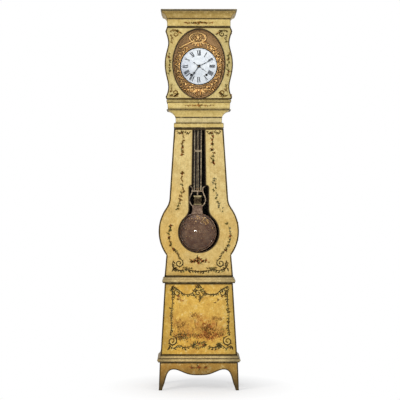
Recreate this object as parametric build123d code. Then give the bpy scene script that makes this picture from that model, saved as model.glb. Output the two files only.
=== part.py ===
from build123d import *
import math
import os

os.makedirs("parts", exist_ok=True)

# A painted pine longcase clock with a violin outline. It stands on the floor at z = 0 with its front
# towards -Y and its back towards +Y, centred on x = 0. Everything is in millimetres.

# Heights of the stages, from the floor up
APRON_HEIGHT = 177
BASE_BAND_HEIGHT = 42
BASE_PANEL_HEIGHT = 455
WAIST_HEIGHT = 37
TRUNK_HEIGHT = 939
COLLAR_HEIGHT = 34
NECK_HEIGHT = 32
COVE_HEIGHT = 52
RAIL_HEIGHT = 62
HOOD_DOOR_HEIGHT = 455
FRIEZE_HEIGHT = 53
CORNICE_HEIGHT = 44
TOP_BOARD = 10

BASE_BAND_TOP = APRON_HEIGHT + BASE_BAND_HEIGHT
BASE_TOP = BASE_BAND_TOP + BASE_PANEL_HEIGHT
WAIST_TOP = BASE_TOP + WAIST_HEIGHT
TRUNK_TOP = WAIST_TOP + TRUNK_HEIGHT
COLLAR_TOP = TRUNK_TOP + COLLAR_HEIGHT
NECK_TOP = COLLAR_TOP + NECK_HEIGHT
COVE_TOP = NECK_TOP + COVE_HEIGHT
RAIL_TOP = COVE_TOP + RAIL_HEIGHT
HOOD_DOOR_TOP = RAIL_TOP + HOOD_DOOR_HEIGHT
FRIEZE_TOP = HOOD_DOOR_TOP + FRIEZE_HEIGHT
CORNICE_TOP = FRIEZE_TOP + CORNICE_HEIGHT
CLOCK_TOP = CORNICE_TOP + TOP_BOARD

# Boards and joints
BOARD = 18
DOOR_THICK = 20
DOOR_GAP = 1.5
LEAF_GAP = 0.5
BACK = 165
CASE_BACK = BACK - BOARD

# Base and feet: half widths and front planes
BASE_HALF = 241
BASE_SLOPE = 26
BASE_FRONT = -136
APRON_STEP = 5
FOOT_SPLAY = 6
FOOT_TOE = 20
SIDE_FOOT = 32
ARCH_PEAK = 131
ARCH_DROP = 95
BAND_REACH = 21

# Trunk
TRUNK_FRONT = -94
TRUNK_TOP_HALF = 156
SHOULDER_SPREAD = 28
SHOULDER_DROP = 425
BELLY_RISE = 288
BELLY_OVERHANG = 13
BELLY_FILLET = 120
SKIRT_INSET = 24
SKIRT_TAPER = 0.087
SIDE_INSET = 12
WAIST_REACH = 16
WAIST_FRAME = 32

# Collar, neck, cove and hood
COLLAR_INSET = 1
NECK_INSET = 10
NECK_FRONT = -92
COLLAR_STEP = 6
COVE_OVERHANG = 7
COVE_NOSE = 5
RAIL_INSET = 4
RAIL_FRONT = -118
RAIL_WIDTH = 40
LEDGE_REACH = 8
LEDGE_HEIGHT = 15
HOOD_FRONT = -126
HOOD_SIDE_INSET = 9
CORNICE_REACH = 34
TOP_BOARD_OVERHANG = 5
TOP_BOARD_INSET = 3

# Hood door outline: how far the ears, waists and belly stand out from the frieze, and the places of the ears
EAR_REACH = 11
EAR_RISE = 16
EAR_DROP = 29
HOOD_WAIST_REACH = -6.5
HOOD_WAIST_RISE = 75
HOOD_WAIST_DROP = 101
HOOD_BELLY_REACH = 15.5
HOOD_DOOR_END_REACH = 2

# Lights: the oval of the hood and the keyhole of the trunk
OVAL_INSET = 38
OVAL_DROP = 3.5
OVAL_MARGIN = 7.5
SLOT_TOP_HALF = 35
SLOT_FOOT_HALF = 41
SLOT_MARGIN = 7
BAY_HALF = 59
BAY_DROP = 363
LIGHT_RADIUS = 125
LIGHT_DROP = 6
FLARE_RADIUS = 78
BAY_CORNER = 11
SLOT_CORNER = 7
REBATE = 6
GLASS = 3
GLASS_FIT = 0.5
BEAD_WIDTH = 6
BEAD_PROUD = 2.5

# Hinges
KNUCKLE_RADIUS = 3.5
PIN_RADIUS = 1.8
TRUNK_HINGE_HEIGHT = 40
HOOD_HINGE_HEIGHT = 30
LEAF = 2
HOOD_HINGE_REACH = 6
TRUNK_HINGE_INSET = 7.5
HINGE_SETBACK = 1.5
HINGE_SPREAD = 40
HOOD_HINGE_RISE = 20
KNUCKLE_GAP = 0.4
DOOR_LEAF = 30
TRUNK_CASE_LEAF = 18
HOOD_CASE_LEAF = 29

# Movement: fits, cage and arbors
FIT = 0.05
DIAL_DROP = 14
SEAT_THICK = 20
SEAT_FRONT = -88
CAGE_HALF = 125
CAGE_FRONT = -40
CAGE_BACK = 95
CAGE_HEIGHT = 315
PLATE = 5
BAR = 3
BAR_WIDTH = 44
PILLAR_RADIUS = 5
ARBOR = 2
ARBOR_SEAT = 1.5
WINDING_ARBOR = 3
BARREL_OFFSET = 48
BARREL_DROP = 54
DRUM_RADIUS = 27
DRUM_FLANGE = 30
DRUM_LENGTH = 42
GOING_DRUM_Y = 47
STRIKE_DRUM_Y = 6
WHEEL_THICK = 3
PINION_LENGTH = 9

# Bell
BELL_Y = 24
BELL_RADIUS = 58
BELL_HEIGHT = 38
BELL_WALL = 3
BELL_RISE = 64
BELL_BORE = 3.2

# Trains: teeth and the distances between arbors
GREAT_TEETH = 60
CENTRE_TEETH = 48
THIRD_TEETH = 42
LEAVES = 6
THIRD_DISTANCE = 40
THIRD_ANGLE = 120
ESCAPE_DISTANCE = 34
ESCAPE_TEETH = 30
ESCAPE_RADIUS = 25
PALLET_CLEARANCE = 2.4
PIN_WHEEL_DX = 22
FLY_DX = -10
CANNON_LEAVES = 10
MINUTE_TEETH = 30
MINUTE_LEAVES = 8
HOUR_TEETH = 32
MOTION_DISTANCE = 24
PIVOT_RISE = 100
CRUTCH_DROP = 55

# Planes of the wheels, front faces along y
GOING_GREAT_Y = 72
STRIKE_GREAT_Y = -24
CENTRE_WHEEL_Y = 30
THIRD_WHEEL_Y = 0
ESCAPE_WHEEL_Y = 60
PIN_WHEEL_Y = 8
FLY_Y = 20
BRIDGE_Y = -64
MINUTE_WHEEL_Y = -70
HOUR_WHEEL_Y = -77

# Dial and hands
DIAL_RADIUS = 118
DIAL_THICK = 2
DIAL_BULGE = 4
DIAL_Y = -90
WINDING_HOLE = 6
SURROUND_Y = -94
SURROUND_SHEET = 1.5
SURROUND_MARGIN = 5
DIAL_RIM_WIDTH = 10
DIAL_RIM_HEIGHT = 7
MINUTE_HAND = 97
HOUR_HAND = 72
ALARM_HAND = 60
MINUTE_ANGLE = 64
HOUR_ANGLE = 215
ALARM_ANGLE = 127
HAND_THICK = 1
HAND_BOSS = 19
HAND_SPACING = 2.2
CANNON_PIPE = 3
HOUR_PIPE = 4.2
ALARM_PIPE = 5.4
DIAL_FOOT_X = 52
DIAL_FOOT_Z = 40

# Pendulum, caught a little to the left of the middle of its swing
PENDULUM_Y = -54
SWING = 0.5
BOB_RADIUS = 122
BOB_THICK = 30
LYRE_HALF = 54
LYRE_RISE = 163
CROSSBAR_RISE = 260
NECK_BLOCK_HALF = 36
BAR_INNER = 13
BAR_OUTER = 25
BAR_THICK = 4
BRIDGE_RISE = 515
DRUM_BANDS = 5
DRUM_CLEARANCE = 26.5
LOOP_DROP = 26
LOOP_UNDER = 45
NUT_RADIUS = 7
NUT_HEIGHT = 6
NUT_GAP = 0.4
STEM_LENGTH = 14

# Weights
WEIGHT_RADIUS = 38
WEIGHT_HEIGHT = 230
WEIGHT_REST_TOP = 500
LINE_RADIUS = 1.5
LINE_GAP = 0.3

# Widths worked out from the width of the base
BELLY_RADIUS = BASE_HALF + BELLY_OVERHANG
SKIRT_HALF = BASE_HALF - SKIRT_INSET
SHOULDER_HALF = TRUNK_TOP_HALF + SHOULDER_SPREAD
COLLAR_HALF = TRUNK_TOP_HALF - COLLAR_INSET
NECK_HALF = TRUNK_TOP_HALF - NECK_INSET
TOP_BOARD_HALF = BASE_HALF - TOP_BOARD_INSET
FRIEZE_HALF = TOP_BOARD_HALF - TOP_BOARD_OVERHANG - CORNICE_REACH
RAIL_HALF = FRIEZE_HALF - RAIL_INSET
HOOD_SIDE_HALF = FRIEZE_HALF - HOOD_SIDE_INSET
EAR_HALF = FRIEZE_HALF + EAR_REACH
HOOD_WAIST_HALF = FRIEZE_HALF + HOOD_WAIST_REACH
HOOD_BELLY_HALF = FRIEZE_HALF + HOOD_BELLY_REACH
HOOD_DOOR_END_HALF = FRIEZE_HALF + HOOD_DOOR_END_REACH
OVAL_HALF_WIDTH = FRIEZE_HALF - OVAL_INSET
HOOD_HINGE_X = FRIEZE_HALF + HOOD_HINGE_REACH
TRUNK_HINGE_X = BELLY_RADIUS - TRUNK_HINGE_INSET

# Places worked out from the sizes above
BELLY_Z = WAIST_TOP + BELLY_RISE
LIGHT_Z = BELLY_Z - LIGHT_DROP
BOB_Z = LIGHT_Z
OVAL_Z = RAIL_TOP + HOOD_DOOR_HEIGHT / 2 - OVAL_DROP
OVAL_HALF_HEIGHT = HOOD_DOOR_HEIGHT / 2 - DOOR_GAP - OVAL_DROP - OVAL_MARGIN
CENTRE_Z = OVAL_Z - DIAL_DROP
SEAT_TOP = RAIL_TOP + SEAT_THICK
CAGE_TOP = SEAT_TOP + CAGE_HEIGHT
PIVOT_Z = CENTRE_Z + PIVOT_RISE
TRUNK_DOOR_BACK = TRUNK_FRONT + DOOR_THICK
HOOD_DOOR_BACK = HOOD_FRONT + DOOR_THICK + 2
CENTRE = (0, CENTRE_Z)
GOING_BARREL = (-BARREL_OFFSET, CENTRE_Z - BARREL_DROP)
STRIKE_BARREL = (BARREL_OFFSET, CENTRE_Z - BARREL_DROP)
GREAT_DISTANCE = math.hypot(BARREL_OFFSET, BARREL_DROP)
THIRD = (
    THIRD_DISTANCE * math.cos(math.radians(THIRD_ANGLE)),
    CENTRE_Z + THIRD_DISTANCE * math.sin(math.radians(THIRD_ANGLE)),
)
ESCAPE = (0, THIRD[1] + math.sqrt(ESCAPE_DISTANCE**2 - THIRD[0] ** 2))
PIN_WHEEL = (
    STRIKE_BARREL[0] + PIN_WHEEL_DX,
    STRIKE_BARREL[1] + math.sqrt(GREAT_DISTANCE**2 - PIN_WHEEL_DX**2),
)
FLY = (PIN_WHEEL[0] + FLY_DX, PIN_WHEEL[1] + math.sqrt(THIRD_DISTANCE**2 - FLY_DX**2))
HAMMER = (72, PIVOT_Z - 12)
MINUTE_STUD = (-MOTION_DISTANCE * math.cos(math.radians(30)), CENTRE_Z - MOTION_DISTANCE / 2)
LINE_X = BARREL_OFFSET + DRUM_RADIUS + LINE_RADIUS + LINE_GAP
TRUNK_HINGES = (BELLY_Z - HINGE_SPREAD, BELLY_Z + HINGE_SPREAD)
HOOD_HINGES = (RAIL_TOP + HOOD_HINGE_RISE, HOOD_DOOR_TOP - EAR_DROP)
BELL_TOP = CAGE_TOP + BELL_RISE
CRUTCH_Z = PIVOT_Z - CRUTCH_DROP
LOOP_TOP = PIVOT_Z - LOOP_DROP
LOOP_FOOT = CENTRE_Z - LOOP_UNDER
DIAL_FRONT = DIAL_Y - DIAL_THICK - DIAL_BULGE
ALARM_HAND_Y = DIAL_FRONT - 0.8
HOUR_HAND_Y = ALARM_HAND_Y - HAND_SPACING
MINUTE_HAND_Y = HOUR_HAND_Y - HAND_SPACING
SURROUND_POST_X = DIAL_RADIUS + 3.5


# ---------------------------------------------------------------- helpers


def block(x0, x1, y0, y1, z0, z1):
    """A square-edged board between two corners."""
    middle = ((x0 + x1) / 2, (y0 + y1) / 2, (z0 + z1) / 2)
    return Pos(*middle) * Box(x1 - x0, y1 - y0, z1 - z0)


def front_slab(face, front, back):
    """A front-view outline in (x, z), made solid between two depths."""
    return extrude(Pos(0, back, 0) * (Plane.XZ * face), amount=back - front)


def rod(point, radius, front, back):
    """A round rod along y through the point (x, z)."""
    return front_slab(Pos(*point) * Circle(radius), front, back)


def both_sides(shape):
    """A shape together with its mirror image across the middle of the clock."""
    return shape + mirror(shape, about=Plane.YZ)


def profile_face(edges, inner):
    """Closes a moulding profile, drawn from its foot to its head, back to a straight inner line."""
    foot = edges[0] @ 0
    head = edges[-1] @ 1
    close = Polyline(head, (inner, head.Y), (inner, foot.Y), foot)
    return make_face(edges + close.edges())


def moulded_block(profile, half_width, front, back):
    """A block whose two sides and front carry one moulding profile, mitred at the corners."""
    reach = 2 * BASE_HALF
    right = profile_face(profile(half_width), 0)
    across = front_slab(both_sides(right), -reach, back)
    side_plane = Plane(origin=(0, 0, 0), x_dir=(0, -1, 0), z_dir=(-1, 0, 0))
    deep = profile_face(profile(-front), -back)
    return across & extrude(side_plane * deep, amount=reach, both=True)


def straight_profile(*points):
    """A moulding profile of straight runs through (reach, z) points."""
    def profile(wall):
        return Polyline([(wall + reach, z) for reach, z in points]).edges()
    return profile


def frame_ring(outer, inner_half, inner_front):
    """Hollows a moulded block from the back, leaving its front and two returns."""
    box = outer.bounding_box()
    hollow = block(-inner_half, inner_half, inner_front, BACK + 1, box.min.Z - 1, box.max.Z + 1)
    return outer - hollow


def wheel_outline(teeth, pitch_radius, thick_share, addendum, dedendum, phase):
    """Straight-flanked teeth, thinner at the tip, with the first one centred on the phase angle."""
    pitch = 2 * math.pi / teeth
    module = 2 * pitch_radius / teeth
    root = pitch_radius - dedendum * module
    tip = pitch_radius + addendum * module
    half = pitch * thick_share / 2
    points = []
    for number in range(teeth):
        middle = phase + number * pitch
        for radius, offset in ((root, -1.05), (tip, -0.42), (tip, 0.42), (root, 1.05)):
            angle = middle + offset * half
            points.append((radius * math.cos(angle), radius * math.sin(angle)))
    return make_face(Polyline(points, close=True))


def leaf_outline(leaves, pitch_radius, phase):
    """Pinion leaves: thin, with radial flanks below the pitch circle and a blunt rounded tip."""
    pitch = 2 * math.pi / leaves
    module = 2 * pitch_radius / leaves
    root = pitch_radius - 1.35 * module
    tip = pitch_radius + 0.55 * module
    half = pitch * 0.34 / 2
    points = []
    for number in range(leaves):
        middle = phase + (number + 0.5) * pitch
        flank = ((root, -1), (pitch_radius, -1), (tip, -0.3), (tip, 0.3), (pitch_radius, 1), (root, 1))
        for radius, offset in flank:
            angle = middle + offset * half
            points.append((radius * math.cos(angle), radius * math.sin(angle)))
    return make_face(Polyline(points, close=True))


def bearing(start, end):
    """The direction in the front view from one arbor to another, in radians."""
    return math.atan2(end[1] - start[1], end[0] - start[0])


def wheel_radius(distance, teeth, leaves):
    """Pitch radius of a wheel that drives a pinion at a given distance."""
    return distance * teeth / (teeth + leaves)


def crossed_wheel(point, teeth, pitch_radius, phase, front, arbor, rim=5, arms=4):
    """A toothed wheel crossed out to a rim, a hub and arms, with a hole for its arbor."""
    face = wheel_outline(teeth, pitch_radius, 0.84, 0.85, 1.35, phase)
    inner = pitch_radius * (1 - 2.7 / teeth) - rim
    hub = arbor + 5
    spokes = Circle(hub)
    for number in range(arms):
        spokes += Rot(0, 0, number * 360 / arms) * Pos(inner / 2, 0) * Rectangle(inner + 2, 5)
    face = (face - Circle(inner)) + spokes - Circle(arbor)
    return front_slab(Pos(*point) * face, front, front + WHEEL_THICK)


def pinion(point, leaves, pitch_radius, toward, front, arbor, length=PINION_LENGTH):
    """A pinion whose gap faces the wheel that drives it."""
    face = leaf_outline(leaves, pitch_radius, toward) - Circle(arbor)
    return front_slab(Pos(*point) * face, front, front + length)


def write(shape, name):
    """Writes one piece of the clock as its own file."""
    shape.label = name
    export_step(shape, "parts/" + name + ".step")


# ---------------------------------------------------------------- base


def base_profile(inset):
    """The sloping face of the base, straight again behind its lower moulding."""
    return straight_profile(
        (-inset, APRON_HEIGHT), (-inset, BASE_BAND_TOP), (-BASE_SLOPE - inset, BASE_TOP)
    )


def base_panels():
    """The sloping front, and the two sides that stand behind it."""
    outer = moulded_block(base_profile(0), BASE_HALF, BASE_FRONT, CASE_BACK)
    behind_front = moulded_block(base_profile(0), BASE_HALF + BASE_SLOPE * 2, BASE_FRONT + BOARD, CASE_BACK)
    inside = moulded_block(base_profile(0), BASE_HALF - BOARD, BASE_FRONT - BOARD, CASE_BACK + 1)
    front = outer - behind_front
    sides = (outer & behind_front) - inside
    return front, sides


def base_floor():
    """The bottom board, let in between the sides at the foot of the base."""
    return block(
        BOARD - BASE_HALF, BASE_HALF - BOARD, BASE_FRONT + BOARD, CASE_BACK,
        APRON_HEIGHT, APRON_HEIGHT + BOARD,
    )


def base_band_profile(wall):
    """A fillet, a half round, a second fillet and a hollow under a small bead."""
    foot = APRON_HEIGHT
    fillet_foot = (wall + BAND_REACH - 6, foot)
    fillet_head = (wall + BAND_REACH - 6, foot + 5)
    nose_foot = (wall + BAND_REACH - 4, foot + 6)
    nose = (wall + BAND_REACH, foot + 13)
    nose_head = (wall + BAND_REACH - 4, foot + 20)
    step_foot = (wall + BAND_REACH - 9, foot + 21)
    step_head = (wall + BAND_REACH - 9, foot + 25)
    hollow = (wall + BAND_REACH * 0.33, foot + 30)
    bead_foot = (wall + BAND_REACH * 0.24, foot + 36)
    bead_head = (wall + BAND_REACH * 0.24, foot + 40)
    top = (wall + 2, foot + BASE_BAND_HEIGHT)
    return [
        Line(fillet_foot, fillet_head),
        Line(fillet_head, nose_foot),
        ThreePointArc(nose_foot, nose, nose_head),
        Line(nose_head, step_foot),
        Line(step_foot, step_head),
        ThreePointArc(step_head, hollow, bead_foot),
        Line(bead_foot, bead_head),
        Line(bead_head, top),
    ]


def base_moulding():
    """The moulding round the foot of the base, on the front and both sides."""
    outer = moulded_block(base_band_profile, BASE_HALF, BASE_FRONT, BACK)
    return frame_ring(outer, BASE_HALF, BASE_FRONT)


def arch_curve(half):
    """The cut edge of an apron: foot, high arch and a low drop in the middle, as a closed cutter."""
    toe = half - FOOT_TOE
    shares = ((1, 0), (0.931, 48), (0.875, 93), (0.776, 126), (0.655, ARCH_PEAK), (0.509, 121), (0.302, 102))
    points = [(toe * share, height) for share, height in shares] + [(0, ARCH_DROP)]
    edge = Spline(points, tangents=[(-0.22, 1), (-1, 0)])
    cut = make_face(edge.edges() + Polyline((0, ARCH_DROP), (0, -5), (toe, -5), (toe, 0)).edges())
    return both_sides(cut)


def side_arch():
    """The plainer arch between the front and back feet of a side apron, drawn in (y, z)."""
    front = BASE_FRONT + SIDE_FOOT
    back = BACK - SIDE_FOOT
    crown = ARCH_PEAK - 6
    middle = (front + back) / 2
    edge = Spline(
        [(front, 0), (front + 15, crown * 0.5), (front + 50, crown * 0.93), (middle, crown),
         (back - 50, crown * 0.93), (back - 15, crown * 0.5), (back, 0)],
        tangents=[(0.2, 1), (0.2, -1)],
    )
    return make_face(edge.edges() + Polyline((back, 0), (back, -5), (front, -5), (front, 0)).edges())


def aprons():
    """The front apron with its two feet, and the side aprons behind it."""
    out = straight_profile((APRON_STEP + FOOT_SPLAY, 0), (APRON_STEP, APRON_HEIGHT))
    outer = moulded_block(out, BASE_HALF, BASE_FRONT, BACK)
    behind = moulded_block(out, BASE_HALF * 2, BASE_FRONT + DOOR_THICK, BACK)
    inside = moulded_block(out, BASE_HALF - DOOR_THICK, BASE_FRONT - BOARD, BACK + 1)
    front = outer - behind
    front -= front_slab(arch_curve(BASE_HALF + APRON_STEP + FOOT_SPLAY), -BACK * 2, BACK * 2)
    sides = (outer & behind) - inside
    plane = Plane(origin=(0, 0, 0), x_dir=(0, 1, 0), z_dir=(1, 0, 0))
    sides -= extrude(plane * side_arch(), amount=BASE_HALF * 2, both=True)
    return front, sides


# ---------------------------------------------------------------- trunk


def trunk_outline(inset, bottom, top):
    """Tapered shoulders running into a round belly, and a skirt that spreads below it."""
    taper = (SHOULDER_HALF - TRUNK_TOP_HALF) / SHOULDER_DROP

    def shoulder(z):
        return TRUNK_TOP_HALF + (TRUNK_TOP - z) * taper - inset

    def skirt(z):
        return SKIRT_HALF - (z - WAIST_TOP) * SKIRT_TAPER - inset

    low = BELLY_Z + BELLY_RADIUS * 0.4
    upper = Polygon(
        (-shoulder(low), low), (shoulder(low), low), (shoulder(top), top), (-shoulder(top), top), align=None
    )
    high = BELLY_Z - BELLY_RADIUS * 0.3
    lower = Polygon(
        (-skirt(bottom), bottom), (skirt(bottom), bottom), (skirt(high), high), (-skirt(high), high),
        align=None,
    )
    face = upper + Pos(0, BELLY_Z) * Circle(BELLY_RADIUS - inset) + lower
    corners = face.vertices().filter_by(
        lambda v: BELLY_Z + BELLY_RADIUS * 0.45 < v.Y < top - 1 and abs(v.X) > SLOT_FOOT_HALF
    )
    return fillet(corners, BELLY_FILLET + inset)


def trunk_light(grow):
    """The keyhole light: a tapering slot, a square bay for the lyre and a round for the bob."""
    slot_top = TRUNK_TOP - DOOR_GAP - SLOT_MARGIN
    bay_top = TRUNK_TOP - BAY_DROP
    slot = Polygon(
        (-SLOT_FOOT_HALF, bay_top - 20), (SLOT_FOOT_HALF, bay_top - 20), (SLOT_TOP_HALF, slot_top),
        (-SLOT_TOP_HALF, slot_top), align=None,
    )
    box = Pos(0, (LIGHT_Z + bay_top) / 2) * Rectangle(2 * BAY_HALF, bay_top - LIGHT_Z)
    face = slot + box + Pos(0, LIGHT_Z) * Circle(LIGHT_RADIUS)
    flares = face.vertices().filter_by(lambda v: LIGHT_Z + 20 < v.Y < bay_top - 60)
    face = fillet(flares, FLARE_RADIUS)
    shoulders = face.vertices().filter_by(lambda v: abs(v.Y - bay_top) < 1 and abs(v.X) > BAY_HALF - 1)
    face = fillet(shoulders, BAY_CORNER)
    throats = face.vertices().filter_by(
        lambda v: abs(v.Y - bay_top) < 1 and abs(abs(v.X) - SLOT_FOOT_HALF) < 3
    )
    face = fillet(throats, SLOT_CORNER)
    return offset(face, grow, kind=Kind.ARC) if grow else face


def hinge(axis_x, door_back, middle, height, door_reach, case_reach):
    """A butt hinge: the door's leaf with two knuckles, the case's leaf with one and the pin."""
    axis_y = door_back + HINGE_SETBACK
    low = middle - height / 2
    high = middle + height / 2
    third = height / 3
    place = Pos(axis_x, axis_y, middle)

    def knuckle(centre, length):
        return Pos(0, 0, centre) * Cylinder(KNUCKLE_RADIUS, length)

    ends = third - KNUCKLE_GAP
    moving = knuckle(-third, ends) + knuckle(third, ends)
    moving = place * moving
    leaf = block(axis_x - door_reach, axis_x, door_back - LEAF, door_back - 0.1, low, high)
    gap = place * Cylinder(KNUCKLE_RADIUS + KNUCKLE_GAP, third + KNUCKLE_GAP)
    bore = place * Cylinder(PIN_RADIUS + FIT, height)
    moving = (moving + (leaf - gap)) - bore
    case_front = door_back + LEAF_GAP
    fixed_leaf = block(axis_x - case_reach, axis_x, case_front, case_front + LEAF, low, high)
    for end in (-third, third):
        fixed_leaf -= place * Pos(0, 0, end) * Cylinder(KNUCKLE_RADIUS + KNUCKLE_GAP, third + 0.1)
    fixed = place * knuckle(0, ends) + fixed_leaf + place * Cylinder(PIN_RADIUS, height)
    return moving, fixed


def hinge_recess(axis_x, door_back, middle, height, door_reach):
    """What a door loses for one hinge: the leaf's seat and a groove for the knuckles."""
    low = middle - height / 2
    high = middle + height / 2
    seat = block(axis_x - door_reach, axis_x + KNUCKLE_RADIUS + 1, door_back - LEAF, door_back + 1, low, high)
    groove = Pos(axis_x, door_back + HINGE_SETBACK, middle) * Cylinder(KNUCKLE_RADIUS + 0.6, height)
    return seat + groove


def trunk_door():
    """The panelled front of the trunk with its keyhole light, rebated at the back for the glass."""
    outline = trunk_outline(0, WAIST_TOP + DOOR_GAP, TRUNK_TOP - DOOR_GAP)
    rebate_front = TRUNK_DOOR_BACK - REBATE
    door = front_slab(outline - trunk_light(0), TRUNK_FRONT, TRUNK_DOOR_BACK)
    door -= front_slab(trunk_light(REBATE), rebate_front, TRUNK_DOOR_BACK + 1)
    for middle in TRUNK_HINGES:
        door -= hinge_recess(TRUNK_HINGE_X, TRUNK_DOOR_BACK, middle, TRUNK_HINGE_HEIGHT, DOOR_LEAF)
    glass = front_slab(trunk_light(REBATE - GLASS_FIT), rebate_front, rebate_front + GLASS)
    bead = front_slab(trunk_light(BEAD_WIDTH) - trunk_light(0), TRUNK_FRONT - BEAD_PROUD, TRUNK_FRONT)
    return door, glass, bead


def trunk_sides():
    """The two bent boards that follow the outline behind the door."""
    front = TRUNK_DOOR_BACK + LEAF_GAP
    outer = trunk_outline(SIDE_INSET, WAIST_TOP, TRUNK_TOP)
    inner = trunk_outline(SIDE_INSET + BOARD - 2, WAIST_TOP - 1, TRUNK_TOP + 1)
    walls = front_slab(outer - inner, front, CASE_BACK)
    for middle in TRUNK_HINGES:
        low = middle - TRUNK_HINGE_HEIGHT / 2
        high = middle + TRUNK_HINGE_HEIGHT / 2
        walls -= block(TRUNK_HINGE_X - TRUNK_CASE_LEAF, TRUNK_HINGE_X + 9, front - 1, front + LEAF, low, high)
        axis_y = TRUNK_DOOR_BACK + HINGE_SETBACK
        walls -= Pos(TRUNK_HINGE_X, axis_y, middle) * Cylinder(KNUCKLE_RADIUS + 0.6, TRUNK_HINGE_HEIGHT)
    return walls


def waist_profile(wall):
    """A lip over the base, a broad round, a hollow and a fillet under the trunk."""
    lip_foot = (wall + WAIST_REACH - 3, BASE_TOP)
    lip_head = (wall + WAIST_REACH - 3, BASE_TOP + 5)
    round_foot = (wall + WAIST_REACH - 5, BASE_TOP + 6)
    nose = (wall + WAIST_REACH, BASE_TOP + 13)
    round_head = (wall + WAIST_REACH - 5, BASE_TOP + 21)
    hollow = (wall + WAIST_REACH * 0.25, BASE_TOP + 26)
    fillet_foot = (wall + WAIST_REACH * 0.22, BASE_TOP + 32)
    fillet_head = (wall + WAIST_REACH * 0.22, WAIST_TOP)
    return [
        Line(lip_foot, lip_head),
        Line(lip_head, round_foot),
        ThreePointArc(round_foot, nose, round_head),
        ThreePointArc(round_head, hollow, fillet_foot),
        Line(fillet_foot, fillet_head),
    ]


def waist_moulding():
    """The frame between base and trunk, moulded on three sides; the trunk stands on it."""
    wall = BASE_HALF - BASE_SLOPE
    outer = moulded_block(waist_profile, wall, BASE_FRONT + BASE_SLOPE, CASE_BACK)
    return frame_ring(outer, wall - WAIST_FRAME, BASE_FRONT + BASE_SLOPE + WAIST_FRAME)


def collar_moulding():
    """The flat band on top of the trunk, with two small steps."""
    step = COLLAR_STEP / 3
    profile = straight_profile(
        (0, TRUNK_TOP), (step, TRUNK_TOP + 3), (step, COLLAR_TOP - 5), (0, COLLAR_TOP - 5), (0, COLLAR_TOP)
    )
    outer = moulded_block(profile, COLLAR_HALF, NECK_FRONT - COLLAR_STEP, CASE_BACK)
    return frame_ring(outer, NECK_HALF - BOARD, TRUNK_DOOR_BACK + LEAF_GAP)


def neck_band():
    """The plain pale band between the collar and the cove."""
    profile = straight_profile((0, COLLAR_TOP), (0, NECK_TOP))
    outer = moulded_block(profile, NECK_HALF, NECK_FRONT, CASE_BACK)
    return frame_ring(outer, NECK_HALF - BOARD, NECK_FRONT + BOARD)


def cove_profile(wall):
    """A hollow that sweeps out from the neck to a small nose just past the hood rail."""
    rail = RAIL_HALF if wall == NECK_HALF else -RAIL_FRONT
    reach = rail + COVE_OVERHANG - wall
    foot = (wall + 1, NECK_TOP)
    middle = (wall + reach * 0.36, NECK_TOP + COVE_HEIGHT * 0.62)
    tip = (wall + reach, COVE_TOP - COVE_NOSE)
    return [ThreePointArc(foot, middle, tip), Line(tip, (wall + reach, COVE_TOP))]


def cove_moulding():
    """The hollow moulding that carries the hood out over the neck."""
    outer = moulded_block(cove_profile, NECK_HALF, NECK_FRONT, CASE_BACK)
    return frame_ring(outer, NECK_HALF - BOARD, NECK_FRONT + BOARD)


# ---------------------------------------------------------------- hood


def hood_rail():
    """The deep frame under the hood door, with a ledge moulding along its top edge."""
    ledge = RAIL_TOP - LEDGE_HEIGHT
    profile = straight_profile(
        (0, COVE_TOP), (2, ledge - 3), (LEDGE_REACH, ledge), (LEDGE_REACH, RAIL_TOP - 4),
        (LEDGE_REACH - 3, RAIL_TOP),
    )
    outer = moulded_block(profile, RAIL_HALF, RAIL_FRONT, CASE_BACK)
    return frame_ring(outer, RAIL_HALF - RAIL_WIDTH, SEAT_FRONT + 6)


def hood_outline(bottom, top):
    """The violin outline of the hood door: ears, waists and a belly on each side."""
    low_ear = RAIL_TOP + EAR_RISE
    high_ear = HOOD_DOOR_TOP - EAR_DROP
    low_waist = RAIL_TOP + HOOD_WAIST_RISE
    high_waist = HOOD_DOOR_TOP - HOOD_WAIST_DROP
    belly = OVAL_Z
    bulge = (HOOD_BELLY_HALF + HOOD_WAIST_HALF) / 2 + 2
    side = Spline(
        (EAR_HALF - 1, low_ear),
        (HOOD_WAIST_HALF + 3.5, (low_ear + low_waist) / 2 + 4),
        (HOOD_WAIST_HALF, low_waist),
        (bulge, (low_waist + belly) / 2),
        (HOOD_BELLY_HALF, belly),
        (bulge, (high_waist + belly) / 2 + 2),
        (HOOD_WAIST_HALF, high_waist),
        (HOOD_WAIST_HALF + 5, (high_ear + high_waist) / 2 - 2),
        (EAR_HALF, high_ear),
    )
    right = make_face(
        Polyline((0, top), (0, bottom), (HOOD_DOOR_END_HALF + 3, bottom), (EAR_HALF - 1, low_ear)).edges()
        + side.edges()
        + Polyline((EAR_HALF, high_ear), (HOOD_DOOR_END_HALF - 1, top), (0, top)).edges()
    )
    return both_sides(right)


def oval(grow):
    """The oval light of the hood door."""
    return Pos(0, OVAL_Z) * Ellipse(OVAL_HALF_WIDTH + grow, OVAL_HALF_HEIGHT + grow)


def hood_door():
    """The violin-shaped hood door, rebated at the back for its oval glass."""
    outline = hood_outline(RAIL_TOP + DOOR_GAP, HOOD_DOOR_TOP - DOOR_GAP)
    rebate_front = HOOD_DOOR_BACK - REBATE
    door = front_slab(outline - oval(0), HOOD_FRONT, HOOD_DOOR_BACK)
    door -= front_slab(oval(REBATE / 2), rebate_front, HOOD_DOOR_BACK + 1)
    for middle in HOOD_HINGES:
        door -= hinge_recess(HOOD_HINGE_X, HOOD_DOOR_BACK, middle, HOOD_HINGE_HEIGHT, DOOR_LEAF / 2)
    glass = front_slab(oval(REBATE / 2 - GLASS_FIT), rebate_front, rebate_front + GLASS)
    bead = front_slab(oval(BEAD_WIDTH) - oval(0), HOOD_FRONT - BEAD_PROUD, HOOD_FRONT)
    return door, glass, bead


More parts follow.
